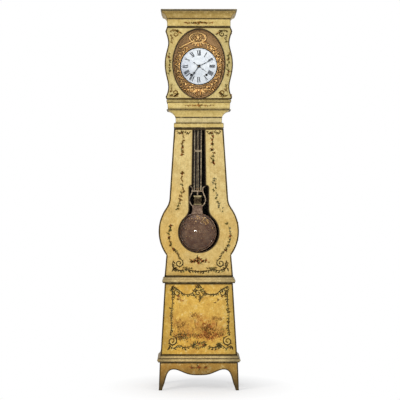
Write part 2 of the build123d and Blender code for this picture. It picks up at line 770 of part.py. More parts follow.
def hood_side(hinges):
    """A side board of the hood, drawn on the right and let in for the hinges it carries."""
    front = HOOD_DOOR_BACK + LEAF_GAP
    board = block(HOOD_SIDE_HALF - BOARD + 2, HOOD_SIDE_HALF, front, CASE_BACK, RAIL_TOP, HOOD_DOOR_TOP)
    for middle in hinges:
        low = middle - HOOD_HINGE_HEIGHT / 2
        high = middle + HOOD_HINGE_HEIGHT / 2
        board -= block(HOOD_HINGE_X - HOOD_CASE_LEAF, HOOD_HINGE_X, front - 1, front + LEAF, low, high)
    return board


def hood_frieze():
    """The plain board over the hood door and its two returns."""
    profile = straight_profile((0, HOOD_DOOR_TOP), (0, FRIEZE_TOP))
    outer = moulded_block(profile, FRIEZE_HALF, HOOD_FRONT, CASE_BACK)
    return frame_ring(outer, FRIEZE_HALF - BOARD, HOOD_FRONT + BOARD)


def cornice_profile(wall):
    """A step, a deep hollow and a square fascia."""
    foot = (wall + 2, FRIEZE_TOP)
    step = (wall + 5, FRIEZE_TOP + 5)
    middle = (wall + CORNICE_REACH * 0.42, FRIEZE_TOP + CORNICE_HEIGHT * 0.5)
    edge = (wall + CORNICE_REACH - 3, CORNICE_TOP - 13)
    fascia = (wall + CORNICE_REACH, CORNICE_TOP - 10)
    return [
        Line(foot, step),
        ThreePointArc(step, middle, edge),
        Line(edge, fascia),
        Line(fascia, (wall + CORNICE_REACH, CORNICE_TOP)),
    ]


def cornice():
    """The crown moulding, mitred round the front and both sides."""
    outer = moulded_block(cornice_profile, FRIEZE_HALF, HOOD_FRONT, BACK)
    return frame_ring(outer, FRIEZE_HALF - BOARD, HOOD_FRONT + BOARD)


def top_board():
    """The flat board that closes the crown and overhangs it a little."""
    front = HOOD_FRONT - CORNICE_REACH - TOP_BOARD_OVERHANG
    return block(-TOP_BOARD_HALF, TOP_BOARD_HALF, front, BACK, CORNICE_TOP, CLOCK_TOP)


def back_board():
    """The back of the whole case, cut to its outline and nailed to the rear edges."""
    slope_half = BASE_HALF - BASE_SLOPE
    base = Polygon(
        (-BASE_HALF, APRON_HEIGHT), (BASE_HALF, APRON_HEIGHT), (BASE_HALF, BASE_BAND_TOP),
        (slope_half, BASE_TOP), (slope_half, WAIST_TOP), (-slope_half, WAIST_TOP),
        (-slope_half, BASE_TOP), (-BASE_HALF, BASE_BAND_TOP), align=None,
    )
    neck = block(-NECK_HALF, NECK_HALF, CASE_BACK, BACK, TRUNK_TOP, COVE_TOP)
    hood = block(-HOOD_SIDE_HALF, HOOD_SIDE_HALF, CASE_BACK, BACK, COVE_TOP, FRIEZE_TOP)
    crown = block(BOARD - FRIEZE_HALF, FRIEZE_HALF - BOARD, CASE_BACK, BACK, FRIEZE_TOP, CORNICE_TOP)
    trunk = front_slab(trunk_outline(SIDE_INSET, WAIST_TOP, TRUNK_TOP), CASE_BACK, BACK)
    return front_slab(base, CASE_BACK, BACK) + trunk + neck + hood + crown


def seat_board():
    """The shelf that carries the movement, slotted for the pendulum and the two lines."""
    half = HOOD_SIDE_HALF - BOARD + 2 - LEAF_GAP
    board = block(-half, half, SEAT_FRONT, CASE_BACK, RAIL_TOP, SEAT_TOP)
    board -= block(-62, 62, PENDULUM_Y - 14, PENDULUM_Y + 12, RAIL_TOP - 1, SEAT_TOP + 1)
    for x, y in ((-LINE_X, GOING_DRUM_Y), (LINE_X, STRIKE_DRUM_Y)):
        board -= block(x - 12, x + 12, y - 12, y + 12, RAIL_TOP - 1, SEAT_TOP + 1)
    return board


# ---------------------------------------------------------------- movement


def movement_cage():
    """Iron plates on four pillars, and the stand that carries the bell over them."""
    low = block(-CAGE_HALF, CAGE_HALF, CAGE_FRONT, CAGE_BACK, SEAT_TOP, SEAT_TOP + PLATE)
    high = block(-CAGE_HALF, CAGE_HALF, CAGE_FRONT, CAGE_BACK, CAGE_TOP - PLATE, CAGE_TOP)
    for x, y in ((-LINE_X, GOING_DRUM_Y), (LINE_X, STRIKE_DRUM_Y)):
        low -= block(x - 10, x + 10, y - 10, y + 10, SEAT_TOP - 1, SEAT_TOP + PLATE + 1)
    cage = low + high
    inset = PILLAR_RADIUS + 2
    for x in (inset - CAGE_HALF, CAGE_HALF - inset):
        for y in (CAGE_FRONT + inset, CAGE_BACK - inset):
            pillar = Pos(x, y, (SEAT_TOP + CAGE_TOP) / 2) * Cylinder(PILLAR_RADIUS, CAGE_HEIGHT)
            cage += pillar
    stand = block(-8, 8, CAGE_BACK - 10, CAGE_BACK, CAGE_TOP, BELL_TOP + 6)
    stand += block(-8, 8, BELL_Y - 8, CAGE_BACK, BELL_TOP + 3, BELL_TOP + 6)
    stand += Pos(0, BELL_Y, BELL_TOP - 5) * Cylinder(3, 20)
    return cage + stand


def bell():
    """A shallow cast bell hung mouth down from its stand."""
    rim = BELL_TOP - BELL_HEIGHT
    outer = [
        Line((BELL_BORE, BELL_TOP), (18, BELL_TOP)),
        ThreePointArc((18, BELL_TOP), (44, BELL_TOP - 10), (BELL_RADIUS, rim)),
        Line((BELL_RADIUS, rim), (BELL_RADIUS - BELL_WALL, rim)),
        ThreePointArc(
            (BELL_RADIUS - BELL_WALL, rim), (42, BELL_TOP - 13), (17, BELL_TOP - BELL_WALL)
        ),
        Line((17, BELL_TOP - BELL_WALL), (BELL_BORE, BELL_TOP - BELL_WALL)),
        Line((BELL_BORE, BELL_TOP - BELL_WALL), (BELL_BORE, BELL_TOP)),
    ]
    return Pos(0, BELL_Y, 0) * revolve(Plane.XZ * make_face(outer), Axis.Z)


def bar_with_holes(x0, x1, y, holes):
    """One upright bearing bar between the plates, bored for its pivots."""
    bar = block(x0, x1, y, y + BAR, SEAT_TOP + PLATE, CAGE_TOP - PLATE)
    for point, radius in holes:
        bar -= rod(point, radius + FIT, y - 1, y + BAR + 1)
    return bar


def bearing_bars():
    """Front and back bars of both trains, the motion-work bridge and the pendulum's cock."""
    half = BAR_WIDTH / 2
    left = [(GOING_BARREL, WINDING_ARBOR)]
    middle = [(CENTRE, ARBOR), (THIRD, ARBOR), (ESCAPE, ARBOR), ((0, PIVOT_Z), ARBOR)]
    right = [(STRIKE_BARREL, WINDING_ARBOR), (PIN_WHEEL, ARBOR), (FLY, ARBOR), (HAMMER, ARBOR)]
    bars = Part()
    for y in (CAGE_FRONT, CAGE_BACK - BAR):
        bars += bar_with_holes(GOING_BARREL[0] - 12, GOING_BARREL[0] + 12, y, left)
        bars += bar_with_holes(THIRD[0] / 2 - half, THIRD[0] / 2 + half, y, middle)
        bars += bar_with_holes(STRIKE_BARREL[0] - 10, HAMMER[0] + 12, y, right)
    reach = CAGE_HALF
    bridge = block(-reach, reach, BRIDGE_Y, BRIDGE_Y + BAR, CENTRE_Z - 9, CENTRE_Z + 9)
    stud_x, stud_z = MINUTE_STUD
    bridge += block(stud_x - 7, stud_x + 7, BRIDGE_Y, BRIDGE_Y + BAR, stud_z - 7, CENTRE_Z)
    for side in (-1, 1):
        arm = sorted((side * reach, side * (reach - BAR)))
        bridge += block(arm[0], arm[1], BRIDGE_Y, CAGE_FRONT, CENTRE_Z - 9, CENTRE_Z + 9)
        foot = sorted((side * reach, side * (reach - 14)))
        bridge += block(foot[0], foot[1], CAGE_FRONT - BAR, CAGE_FRONT + 1.95, CENTRE_Z - 9, CENTRE_Z + 9)
    bridge -= rod(CENTRE, ARBOR + FIT, BRIDGE_Y - 1, BRIDGE_Y + BAR + 1)
    bridge += rod(MINUTE_STUD, ARBOR_SEAT, HOUR_WHEEL_Y - 3, BRIDGE_Y)
    cock_front = PENDULUM_Y - 9
    cock = block(-12, 12, cock_front, CAGE_FRONT + 12, CAGE_TOP, CAGE_TOP + 4)
    cock += block(-12, 12, cock_front, cock_front + 3, PIVOT_Z - 9, CAGE_TOP)
    cock += rod((0, PIVOT_Z), ARBOR, cock_front, PENDULUM_Y + 4)
    return bars + bridge + cock


def going_great_wheel():
    """The great wheel of the going train, loose on the barrel's arbor."""
    radius = wheel_radius(GREAT_DISTANCE, GREAT_TEETH, LEAVES)
    phase = bearing(GOING_BARREL, CENTRE)
    return crossed_wheel(
        GOING_BARREL, GREAT_TEETH, radius, phase, GOING_GREAT_Y, WINDING_ARBOR + FIT, rim=8, arms=4
    )


def strike_great_wheel():
    """The great wheel of the strike train."""
    radius = wheel_radius(GREAT_DISTANCE, GREAT_TEETH, LEAVES)
    phase = bearing(STRIKE_BARREL, PIN_WHEEL)
    return crossed_wheel(
        STRIKE_BARREL, GREAT_TEETH, radius, phase, STRIKE_GREAT_Y, WINDING_ARBOR + FIT, rim=8, arms=4
    )


def barrel(point, middle, wheel_front):
    """A winding drum between two flanges on an arbor that ends in a square at the dial."""
    half = DRUM_LENGTH / 2
    drum = rod(point, DRUM_RADIUS, middle - half, middle + half)
    drum += rod(point, DRUM_FLANGE, middle - half, middle - half + 2)
    drum += rod(point, DRUM_FLANGE, middle + half - 2, middle + half)
    drum += rod(point, WINDING_ARBOR, CAGE_FRONT - 6, CAGE_BACK)
    side = 4.2
    drum += front_slab(Pos(*point) * Rectangle(side, side), DIAL_Y - 3, CAGE_FRONT - 6)
    for front in (wheel_front - 4, wheel_front + WHEEL_THICK + 0.3):
        drum += rod(point, 9, front, front + 3.7)
    return drum


def centre_wheel():
    """The arbor that turns once an hour: its pinion, its wheel and the pinion of the motion work."""
    pinion_radius = GREAT_DISTANCE - wheel_radius(GREAT_DISTANCE, GREAT_TEETH, LEAVES)
    wheel = wheel_radius(THIRD_DISTANCE, CENTRE_TEETH, LEAVES)
    cannon = MOTION_DISTANCE - wheel_radius(MOTION_DISTANCE, MINUTE_TEETH, CANNON_LEAVES)
    body = rod(CENTRE, ARBOR, MINUTE_HAND_Y - 3.5, CAGE_BACK)
    body += crossed_wheel(CENTRE, CENTRE_TEETH, wheel, bearing(CENTRE, THIRD), CENTRE_WHEEL_Y, ARBOR_SEAT)
    toward = bearing(CENTRE, GOING_BARREL)
    body += pinion(CENTRE, LEAVES, pinion_radius, toward, GOING_GREAT_Y - 3, ARBOR_SEAT)
    front = MINUTE_WHEEL_Y - 0.5
    body += pinion(CENTRE, CANNON_LEAVES, cannon, bearing(CENTRE, MINUTE_STUD), front, ARBOR_SEAT, 4)
    body += rod(CENTRE, CANNON_PIPE, MINUTE_HAND_Y, front)
    return body


def third_wheel():
    """The third wheel, between the centre and the escape arbors."""
    pinion_radius = THIRD_DISTANCE - wheel_radius(THIRD_DISTANCE, CENTRE_TEETH, LEAVES)
    wheel = wheel_radius(ESCAPE_DISTANCE, THIRD_TEETH, LEAVES)
    body = rod(THIRD, ARBOR, CAGE_FRONT, CAGE_BACK)
    body += pinion(THIRD, LEAVES, pinion_radius, bearing(THIRD, CENTRE), CENTRE_WHEEL_Y - 3, ARBOR_SEAT)
    body += crossed_wheel(THIRD, THIRD_TEETH, wheel, bearing(THIRD, ESCAPE), THIRD_WHEEL_Y, ARBOR_SEAT)
    return body


def escape_wheel():
    """The escape wheel, with slender teeth that lean forward, and its pinion."""
    pinion_radius = ESCAPE_DISTANCE - wheel_radius(ESCAPE_DISTANCE, THIRD_TEETH, LEAVES)
    pitch = 2 * math.pi / ESCAPE_TEETH
    root = ESCAPE_RADIUS - 4.5
    points = []
    for number in range(ESCAPE_TEETH):
        start = number * pitch
        for radius, share in ((root, 0), (ESCAPE_RADIUS, 0.08), (ESCAPE_RADIUS, 0.16), (root, 0.62)):
            angle = start + share * pitch
            points.append((radius * math.cos(angle), radius * math.sin(angle)))
    face = make_face(Polyline(points, close=True)) - Circle(root - 4)
    spokes = Circle(7)
    for number in range(4):
        spokes += Rot(0, 0, number * 90) * Pos(root / 2 - 1, 0) * Rectangle(root - 4, 3)
    face = face + spokes - Circle(ARBOR_SEAT)
    body = front_slab(Pos(*ESCAPE) * face, ESCAPE_WHEEL_Y, ESCAPE_WHEEL_Y + 2)
    body += rod(ESCAPE, ARBOR, CAGE_FRONT, CAGE_BACK)
    body += pinion(ESCAPE, LEAVES, pinion_radius, bearing(ESCAPE, THIRD), THIRD_WHEEL_Y - 3, ARBOR_SEAT)
    return body


def anchor():
    """The recoil anchor over the escape wheel, and the crutch that reaches down to the pendulum."""
    pivot = (0, PIVOT_Z)
    rise = PIVOT_Z - ESCAPE[1]
    reach = ESCAPE_RADIUS + PALLET_CLEARANCE
    span = math.radians(48)
    tip = (reach * math.sin(span), reach * math.cos(span) - rise)
    arm = make_face(
        Polyline(
            (0, 5), (tip[0] + 3, tip[1] + 9), (tip[0] + 5, tip[1] + 3), tip,
            (tip[0] - 1.5, tip[1] + 5), (0, -5), close=True,
        )
    )
    frame = both_sides(arm) + Circle(6) - Circle(ARBOR_SEAT)
    body = front_slab(Pos(*pivot) * frame, ESCAPE_WHEEL_Y - 1, ESCAPE_WHEEL_Y + 3)
    crutch_back = CAGE_FRONT - 1
    body += rod(pivot, ARBOR, crutch_back - 3, CAGE_BACK)
    foot = CRUTCH_Z - 3
    body += block(-3.5, 3.5, crutch_back - 3, crutch_back, foot, PIVOT_Z + 3)
    prong = BAR_INNER - 0.3
    body += block(-prong, prong, PENDULUM_Y - 3, crutch_back - 3, foot, foot + 6)
    return body


def minute_wheel():
    """The intermediate wheel of the motion work and its pinion, turning on a stud."""
    radius = wheel_radius(MOTION_DISTANCE, MINUTE_TEETH, CANNON_LEAVES)
    small = MOTION_DISTANCE - wheel_radius(MOTION_DISTANCE, HOUR_TEETH, MINUTE_LEAVES)
    bore = ARBOR_SEAT + FIT
    face = wheel_outline(MINUTE_TEETH, radius, 0.84, 0.85, 1.35, bearing(MINUTE_STUD, CENTRE)) - Circle(bore)
    body = front_slab(Pos(*MINUTE_STUD) * face, MINUTE_WHEEL_Y, MINUTE_WHEEL_Y + 2)
    length = MINUTE_WHEEL_Y - HOUR_WHEEL_Y + 1
    body += pinion(
        MINUTE_STUD, MINUTE_LEAVES, small, bearing(MINUTE_STUD, CENTRE), HOUR_WHEEL_Y - 1, bore, length
    )
    return body


def hour_wheel():
    """The wheel that carries the hour hand on a pipe."""
    radius = wheel_radius(MOTION_DISTANCE, HOUR_TEETH, MINUTE_LEAVES)
    phase = bearing(CENTRE, MINUTE_STUD)
    face = wheel_outline(HOUR_TEETH, radius, 0.84, 0.85, 1.35, phase)
    body = front_slab(Pos(*CENTRE) * face, HOUR_WHEEL_Y, HOUR_WHEEL_Y + 2)
    body += rod(CENTRE, HOUR_PIPE, HOUR_HAND_Y, HOUR_WHEEL_Y + 2)
    return body - rod(CENTRE, CANNON_PIPE + FIT, HOUR_HAND_Y - 1, HOUR_WHEEL_Y + 3)


# ---------------------------------------------------------------- strike


def pin_wheel():
    """The pin wheel that lifts the hammer, with its pinion."""
    pinion_radius = GREAT_DISTANCE - wheel_radius(GREAT_DISTANCE, GREAT_TEETH, LEAVES)
    wheel = wheel_radius(THIRD_DISTANCE, CENTRE_TEETH, LEAVES)
    body = rod(PIN_WHEEL, ARBOR, CAGE_FRONT, CAGE_BACK)
    body += pinion(
        PIN_WHEEL, LEAVES, pinion_radius, bearing(PIN_WHEEL, STRIKE_BARREL), STRIKE_GREAT_Y - 3, ARBOR_SEAT
    )
    body += crossed_wheel(PIN_WHEEL, CENTRE_TEETH, wheel, bearing(PIN_WHEEL, FLY), PIN_WHEEL_Y, ARBOR_SEAT)
    pins = 8
    for number in range(pins):
        angle = 2 * math.pi * number / pins
        ring = wheel - 5
        pin = (PIN_WHEEL[0] + ring * math.cos(angle), PIN_WHEEL[1] + ring * math.sin(angle))
        body += rod(pin, 1.5, PIN_WHEEL_Y + WHEEL_THICK, PIN_WHEEL_Y + WHEEL_THICK + 6)
    return body


def strike_fly():
    """The fly: two broad vanes that hold the strike to a steady speed."""
    pinion_radius = THIRD_DISTANCE - wheel_radius(THIRD_DISTANCE, CENTRE_TEETH, LEAVES)
    body = rod(FLY, ARBOR, CAGE_FRONT, CAGE_BACK)
    body += pinion(FLY, LEAVES, pinion_radius, bearing(FLY, PIN_WHEEL), PIN_WHEEL_Y - 3, ARBOR_SEAT)
    face = Rectangle(54, 1.6) + Circle(4) - Circle(ARBOR_SEAT)
    body += front_slab(Pos(*FLY) * face, FLY_Y, FLY_Y + 32)
    return body


def hammer():
    """The hammer: an arbor with a tail over the pin wheel and a head beside the bell."""
    x, z = HAMMER
    body = rod(HAMMER, ARBOR, CAGE_FRONT, CAGE_BACK + 10)
    head_z = BELL_TOP - BELL_HEIGHT + 6
    stem_y = CAGE_BACK + 7
    body += block(x - 2.5, x + 2.5, stem_y - 2.5, stem_y + 2.5, z - 4, head_z + 2.5)
    body += block(x - 2.5, x + 2.5, BELL_Y - 3, stem_y, head_z - 2.5, head_z + 2.5)
    head = Pos(x - 1, BELL_Y, head_z) * Rot(0, 90, 0) * Cylinder(8, 2 * (x - 1 - BELL_RADIUS - 2.5))
    tail_y = FLY_Y - 5
    tail_foot = PIN_WHEEL[1] + wheel_radius(THIRD_DISTANCE, CENTRE_TEETH, LEAVES) + 1
    body += block(x - 2, x + 2, tail_y, tail_y + 4, tail_foot, z)
    return body + head


# ---------------------------------------------------------------- dial and hands


def dial():
    """The enamelled dial, slightly domed, pierced for the hands and the two winding squares."""
    back = DIAL_Y
    face = make_face(
        [
            ThreePointArc((0, DIAL_THICK + DIAL_BULGE), (DIAL_RADIUS * 0.6, DIAL_THICK + DIAL_BULGE * 0.64),
                          (DIAL_RADIUS, DIAL_THICK)),
            Line((DIAL_RADIUS, DIAL_THICK), (DIAL_RADIUS, 0)),
            Line((DIAL_RADIUS, 0), (0, 0)),
            Line((0, 0), (0, DIAL_THICK + DIAL_BULGE)),
        ]
    )
    disc = revolve(Plane.XZ * face, Axis.Z)
    disc = Pos(0, back, CENTRE_Z) * Rot(90, 0, 0) * disc
    disc -= rod(CENTRE, ALARM_PIPE + FIT, back - 10, back + 1)
    for point in (GOING_BARREL, STRIKE_BARREL):
        disc -= rod(point, WINDING_HOLE, back - 10, back + 1)
    for side in (-1, 1):
        for rise in (-1, 1):
            foot = (side * DIAL_FOOT_X, CENTRE_Z + rise * DIAL_FOOT_Z)
            disc += rod(foot, 3, back, CAGE_FRONT)
    return disc


def relief_ring(centre, half_width, half_height, width, height, base):
    """A raised oval moulding pressed out of the sheet."""
    outer = Pos(*centre) * Ellipse(half_width, half_height)
    inner = Pos(*centre) * Ellipse(half_width - width, half_height - width)
    return front_slab(outer - inner, base - height, base)


def dial_surround():
    """The oval pressed brass surround, with its raised rims, a top wreath and a garland of bosses."""
    base = SURROUND_Y + SURROUND_SHEET
    half_w = OVAL_HALF_WIDTH + SURROUND_MARGIN
    half_h = OVAL_HALF_HEIGHT + SURROUND_MARGIN
    hole = DIAL_RADIUS - 3.5
    edge = hole + DIAL_RIM_WIDTH
    sheet = front_slab(Pos(0, OVAL_Z) * Ellipse(half_w, half_h), SURROUND_Y, base)
    rim = make_face(
        [
            ThreePointArc((hole, 0), (hole + DIAL_RIM_WIDTH / 2, DIAL_RIM_HEIGHT), (edge, 0)),
            Line((edge, 0), (hole, 0)),
        ]
    )
    body = sheet - rod(CENTRE, hole, SURROUND_Y - 5, base + 5)
    body += Pos(0, SURROUND_Y, CENTRE_Z) * Rot(90, 0, 0) * revolve(Plane.XZ * rim, Axis.Z)
    for side in (-1, 1):
        body += rod((side * SURROUND_POST_X, CENTRE_Z), 3, base, BRIDGE_Y)
    wreath = (0, CENTRE_Z + DIAL_RADIUS + 62)
    body += relief_ring(wreath, 52, 36, 9, 6, SURROUND_Y)
    swag = (DIAL_RADIUS + half_w) / 2
    for degrees in (-150, -120, -90, -60, -30, 0, 180, 30, 150, 52, 128):
        angle = math.radians(degrees)
        x = swag * math.cos(angle)
        lift = 1 + 0.26 * abs(math.sin(angle))
        z = CENTRE_Z + swag * lift * math.sin(angle)
        radius = 11 + 7 * abs(math.sin(angle))
        body += Pos(x, SURROUND_Y, z) * Rot(90, 0, 0) * Pos(0, 0, 3) * Cone(radius, radius * 0.45, 6)
    return body


def hand_point(angle, radius, side=0):
    """A point on a hand, by its clock angle, its distance from the centre and a sideways shift."""
    turn = math.radians(90 - angle)
    x = radius * math.cos(turn) + side * math.cos(turn - math.pi / 2)
    z = radius * math.sin(turn) + side * math.sin(turn - math.pi / 2)
    return (x, z)


def hand_shaft(angle, start, end, root, tip):
    """A tapering strip between two radii of a hand."""
    corners = [hand_point(angle, start, -root), hand_point(angle, end, -tip)]
    corners += [hand_point(angle, end, tip), hand_point(angle, start, root)]
    return make_face(Polyline(corners, close=True))


def hands():
    """The pierced steel hands: minute, hour and alarm, stacked on their pipes."""
    place = Pos(*CENTRE)
    minute = Circle(6) + hand_shaft(MINUTE_ANGLE, 0, MINUTE_HAND, 2.2, 1.4)
    minute += Pos(*hand_point(MINUTE_ANGLE, MINUTE_HAND * 0.72)) * Circle(2.6)
    minute_body = front_slab(place * minute, MINUTE_HAND_Y - HAND_THICK, MINUTE_HAND_Y)
    boss = Rot(0, 0, 10) * Rectangle(HAND_BOSS, HAND_BOSS)
    minute_body += front_slab(place * boss, MINUTE_HAND_Y - 2, MINUTE_HAND_Y)
    minute_body -= rod(CENTRE, ARBOR, MINUTE_HAND_Y - 5, MINUTE_HAND_Y + 1)
    hour = Circle(9) + hand_shaft(HOUR_ANGLE, 0, HOUR_HAND, 2.4, 1.2)
    for share, radius in ((0.72, 6.5), (0.88, 4)):
        middle = hand_point(HOUR_ANGLE, HOUR_HAND * share)
        hour += Pos(*middle) * Circle(radius)
    hour -= Circle(CANNON_PIPE + FIT)
    hour_body = front_slab(place * hour, HOUR_HAND_Y - HAND_THICK, HOUR_HAND_Y)
    alarm = Circle(8.5) + hand_shaft(ALARM_ANGLE, 0, ALARM_HAND, 1.6, 0.7)
    alarm += hand_shaft(ALARM_ANGLE + 180, 0, 34, 1.6, 1.2)
    alarm += Pos(*hand_point(ALARM_ANGLE + 180, 37)) * Circle(4.2)
    alarm += Pos(*hand_point(ALARM_ANGLE, 32)) * Circle(3.4)
    alarm -= Circle(HOUR_PIPE + FIT)
    alarm_body = front_slab(place * alarm, ALARM_HAND_Y - HAND_THICK, ALARM_HAND_Y)
    pipe = Circle(ALARM_PIPE) - Circle(HOUR_PIPE + FIT)
    alarm_body += front_slab(place * pipe, ALARM_HAND_Y, DIAL_Y + 4)
    collar = Circle(10) - Circle(HOUR_PIPE + FIT)
    alarm_body += front_slab(place * collar, DIAL_Y + 0.3, DIAL_Y + 2.3)
    return minute_body, hour_body, alarm_body


# ---------------------------------------------------------------- pendulum and weights


def swung(shape):
    """Turns a piece of the pendulum about its pivot to where it rests in its swing."""
    return Pos(0, 0, PIVOT_Z) * Rot(0, SWING, 0) * Pos(0, 0, -PIVOT_Z) * shape


def pendulum_suspension():
    """The eye on the cock's pin, the spring strip and the block that hooks the pendulum."""
    eye = block(-5, 5, PENDULUM_Y - 3, PENDULUM_Y + 3, PIVOT_Z - 8, PIVOT_Z + 7)
    eye -= rod((0, PIVOT_Z), ARBOR + FIT, PENDULUM_Y - 4, PENDULUM_Y + 4)
    strip = block(-5, 5, PENDULUM_Y - 0.5, PENDULUM_Y + 0.5, LOOP_TOP, PIVOT_Z - 8)
    return eye + strip


def pendulum_bars():
    """Flat bars hung from a loop that passes the centre arbor, tied by bridges."""
    front = PENDULUM_Y - BAR_THICK / 2
    back = PENDULUM_Y + BAR_THICK / 2
    foot = BOB_Z + CROSSBAR_RISE + 3
    body = block(-BAR_OUTER, BAR_OUTER, front, back, LOOP_TOP - 10, LOOP_TOP)
    body += both_sides(block(BAR_INNER, BAR_OUTER, front, back, foot, LOOP_TOP - 10))
    body += block(-BAR_OUTER, BAR_OUTER, front, back, LOOP_FOOT - 12, LOOP_FOOT)
    body += block(-5.5, 5.5, front, back, foot, LOOP_FOOT - 12)
    bridge_z = BOB_Z + BRIDGE_RISE
    body += block(-BAR_OUTER, BAR_OUTER, front - 1.5, back + 1.5, bridge_z - 6, bridge_z + 6)
    pitch = 15
    count = int((LOOP_FOOT - 20 - foot) / pitch)
    for number in range(count):
        z = foot + 8 + number * pitch
        boss = block(-3.2, 3.2, front - 1.2, front, z, z + 9)
        if abs(z + 4.5 - bridge_z) > 12:
            body += boss
    return body


def lyre_arm():
    """The right arm of the lyre, a flat scroll that leaves the base and curls out at its top."""
    base = BOB_Z + LYRE_RISE
    top = BOB_Z + CROSSBAR_RISE
    rise = top - base
    centre = Spline(
        (NECK_BLOCK_HALF - 6, base + 3),
        (LYRE_HALF - 8, base + rise * 0.23),
        (LYRE_HALF - 3, base + rise * 0.47),
        (LYRE_HALF - 13, base + rise * 0.78),
        (LYRE_HALF - 21, top),
        (LYRE_HALF - 17, top + rise * 0.25),
        (LYRE_HALF - 6, top + rise * 0.3),
    )
    section = Plane(centre @ 0, z_dir=centre % 0) * Rectangle(6, 6)
    arm = sweep(section, path=centre)
    return Pos(0, PENDULUM_Y, 0) * Rot(90, 0, 0) * arm


def pendulum_lyre():
    """The lyre: two arms, a crossbar, a banded drum between them and the neck block under it."""
    top = BOB_Z + CROSSBAR_RISE
    base = BOB_Z + LYRE_RISE
    body = both_sides(lyre_arm())
    body += block(3 - LYRE_HALF + 12, LYRE_HALF - 15, PENDULUM_Y - 3, PENDULUM_Y + 3, top - 3, top + 3)
    foot = base + 8
    band_height = (top - foot - DRUM_CLEARANCE) / DRUM_BANDS
    for number in range(DRUM_BANDS):
        half = 29 if number % 2 == 0 else 25
        deep = 11 if number % 2 == 0 else 9
        z = foot + number * band_height
        band = Pos(0, PENDULUM_Y, z + band_height / 2) * Box(2 * half, 2 * deep, band_height)
        body += fillet(band.edges().filter_by(Axis.Z), 7)
    body += block(-4, 4, PENDULUM_Y - 3, PENDULUM_Y + 3, foot + DRUM_BANDS * band_height, top - 3)
    neck_foot = BOB_Z + BOB_RADIUS - 6
    sides = make_face(
        [
            Line((NECK_BLOCK_HALF + 2, neck_foot), (-NECK_BLOCK_HALF - 2, neck_foot)),
            ThreePointArc((-NECK_BLOCK_HALF - 2, neck_foot), (5 - NECK_BLOCK_HALF, (neck_foot + base) / 2),
                          (-NECK_BLOCK_HALF, base + 8)),
            Line((-NECK_BLOCK_HALF, base + 8), (NECK_BLOCK_HALF, base + 8)),
            ThreePointArc((NECK_BLOCK_HALF, base + 8), (NECK_BLOCK_HALF - 5, (neck_foot + base) / 2),
                          (NECK_BLOCK_HALF + 2, neck_foot)),
        ]
    )
    neck = front_slab(sides, PENDULUM_Y - 8, PENDULUM_Y + 8)
    return body + neck - bob_solid()


def bob_solid():
    """A lens with a turned rim, standing upright."""
    rim_half = 4
    face_radius = BOB_RADIUS - 6
    crown = BOB_THICK / 2 - rim_half
    curve = (face_radius**2 + crown**2) / (2 * crown)
    rim = Cylinder(BOB_RADIUS, 2 * rim_half)
    drum = Cylinder(face_radius, BOB_THICK)
    offset_z = BOB_THICK / 2 - curve
    lens = rim + (drum & Pos(0, 0, offset_z) * Sphere(curve) & Pos(0, 0, -offset_z) * Sphere(curve))
    return Pos(0, PENDULUM_Y, BOB_Z) * Rot(90, 0, 0) * lens


def pendulum_bob():
    """The heavy round bob, with the threaded stem under it for the rating nut."""
    stem_top = BOB_Z - BOB_RADIUS + 3
    stem = Pos(0, PENDULUM_Y, stem_top - (STEM_LENGTH + 3) / 2) * Cylinder(ARBOR, STEM_LENGTH + 3)
    return bob_solid() + stem


def rating_nut():
    """The nut under the bob that sets the rate."""
    z = BOB_Z - BOB_RADIUS - NUT_GAP - NUT_HEIGHT / 2
    nut = Pos(0, PENDULUM_Y, z) * Cylinder(NUT_RADIUS, NUT_HEIGHT)
    return nut - Pos(0, PENDULUM_Y, z) * Cylinder(ARBOR + FIT, NUT_HEIGHT + 2)


def weight(x, y):
    """A cast-iron cylinder with a hook eye, hanging at its lowest."""
    foot = WEIGHT_REST_TOP - 30 - WEIGHT_HEIGHT
    top = foot + WEIGHT_HEIGHT
    face = make_face(
        [
            Line((0, foot), (WEIGHT_RADIUS - 4, foot)),
            ThreePointArc(
                (WEIGHT_RADIUS - 4, foot), (WEIGHT_RADIUS - 1.2, foot + 1.2), (WEIGHT_RADIUS, foot + 4)
            ),
            Line((WEIGHT_RADIUS, foot + 4), (WEIGHT_RADIUS, top - 10)),
            ThreePointArc((WEIGHT_RADIUS, top - 10), (WEIGHT_RADIUS - 5, top - 3), (WEIGHT_RADIUS - 14, top)),
            Line((WEIGHT_RADIUS - 14, top), (0, top)),
            Line((0, top), (0, foot)),
        ]
    )
    body = revolve(Plane.XZ * face, Axis.Z)
    body += Pos(0, 0, top + 6) * Cylinder(3, 14)
    body += Pos(0, 0, top + 21) * Rot(90, 0, 0) * Torus(8, 2)
    return Pos(x, y, 0) * body


def line(x, y):
    """The gut line from the drum down to the weight's hook."""
    foot = WEIGHT_REST_TOP + 1.3
    top = GOING_BARREL[1]
    return Pos(x, y, (foot + top) / 2) * Cylinder(LINE_RADIUS, top - foot)


# ---------------------------------------------------------------- the whole clock


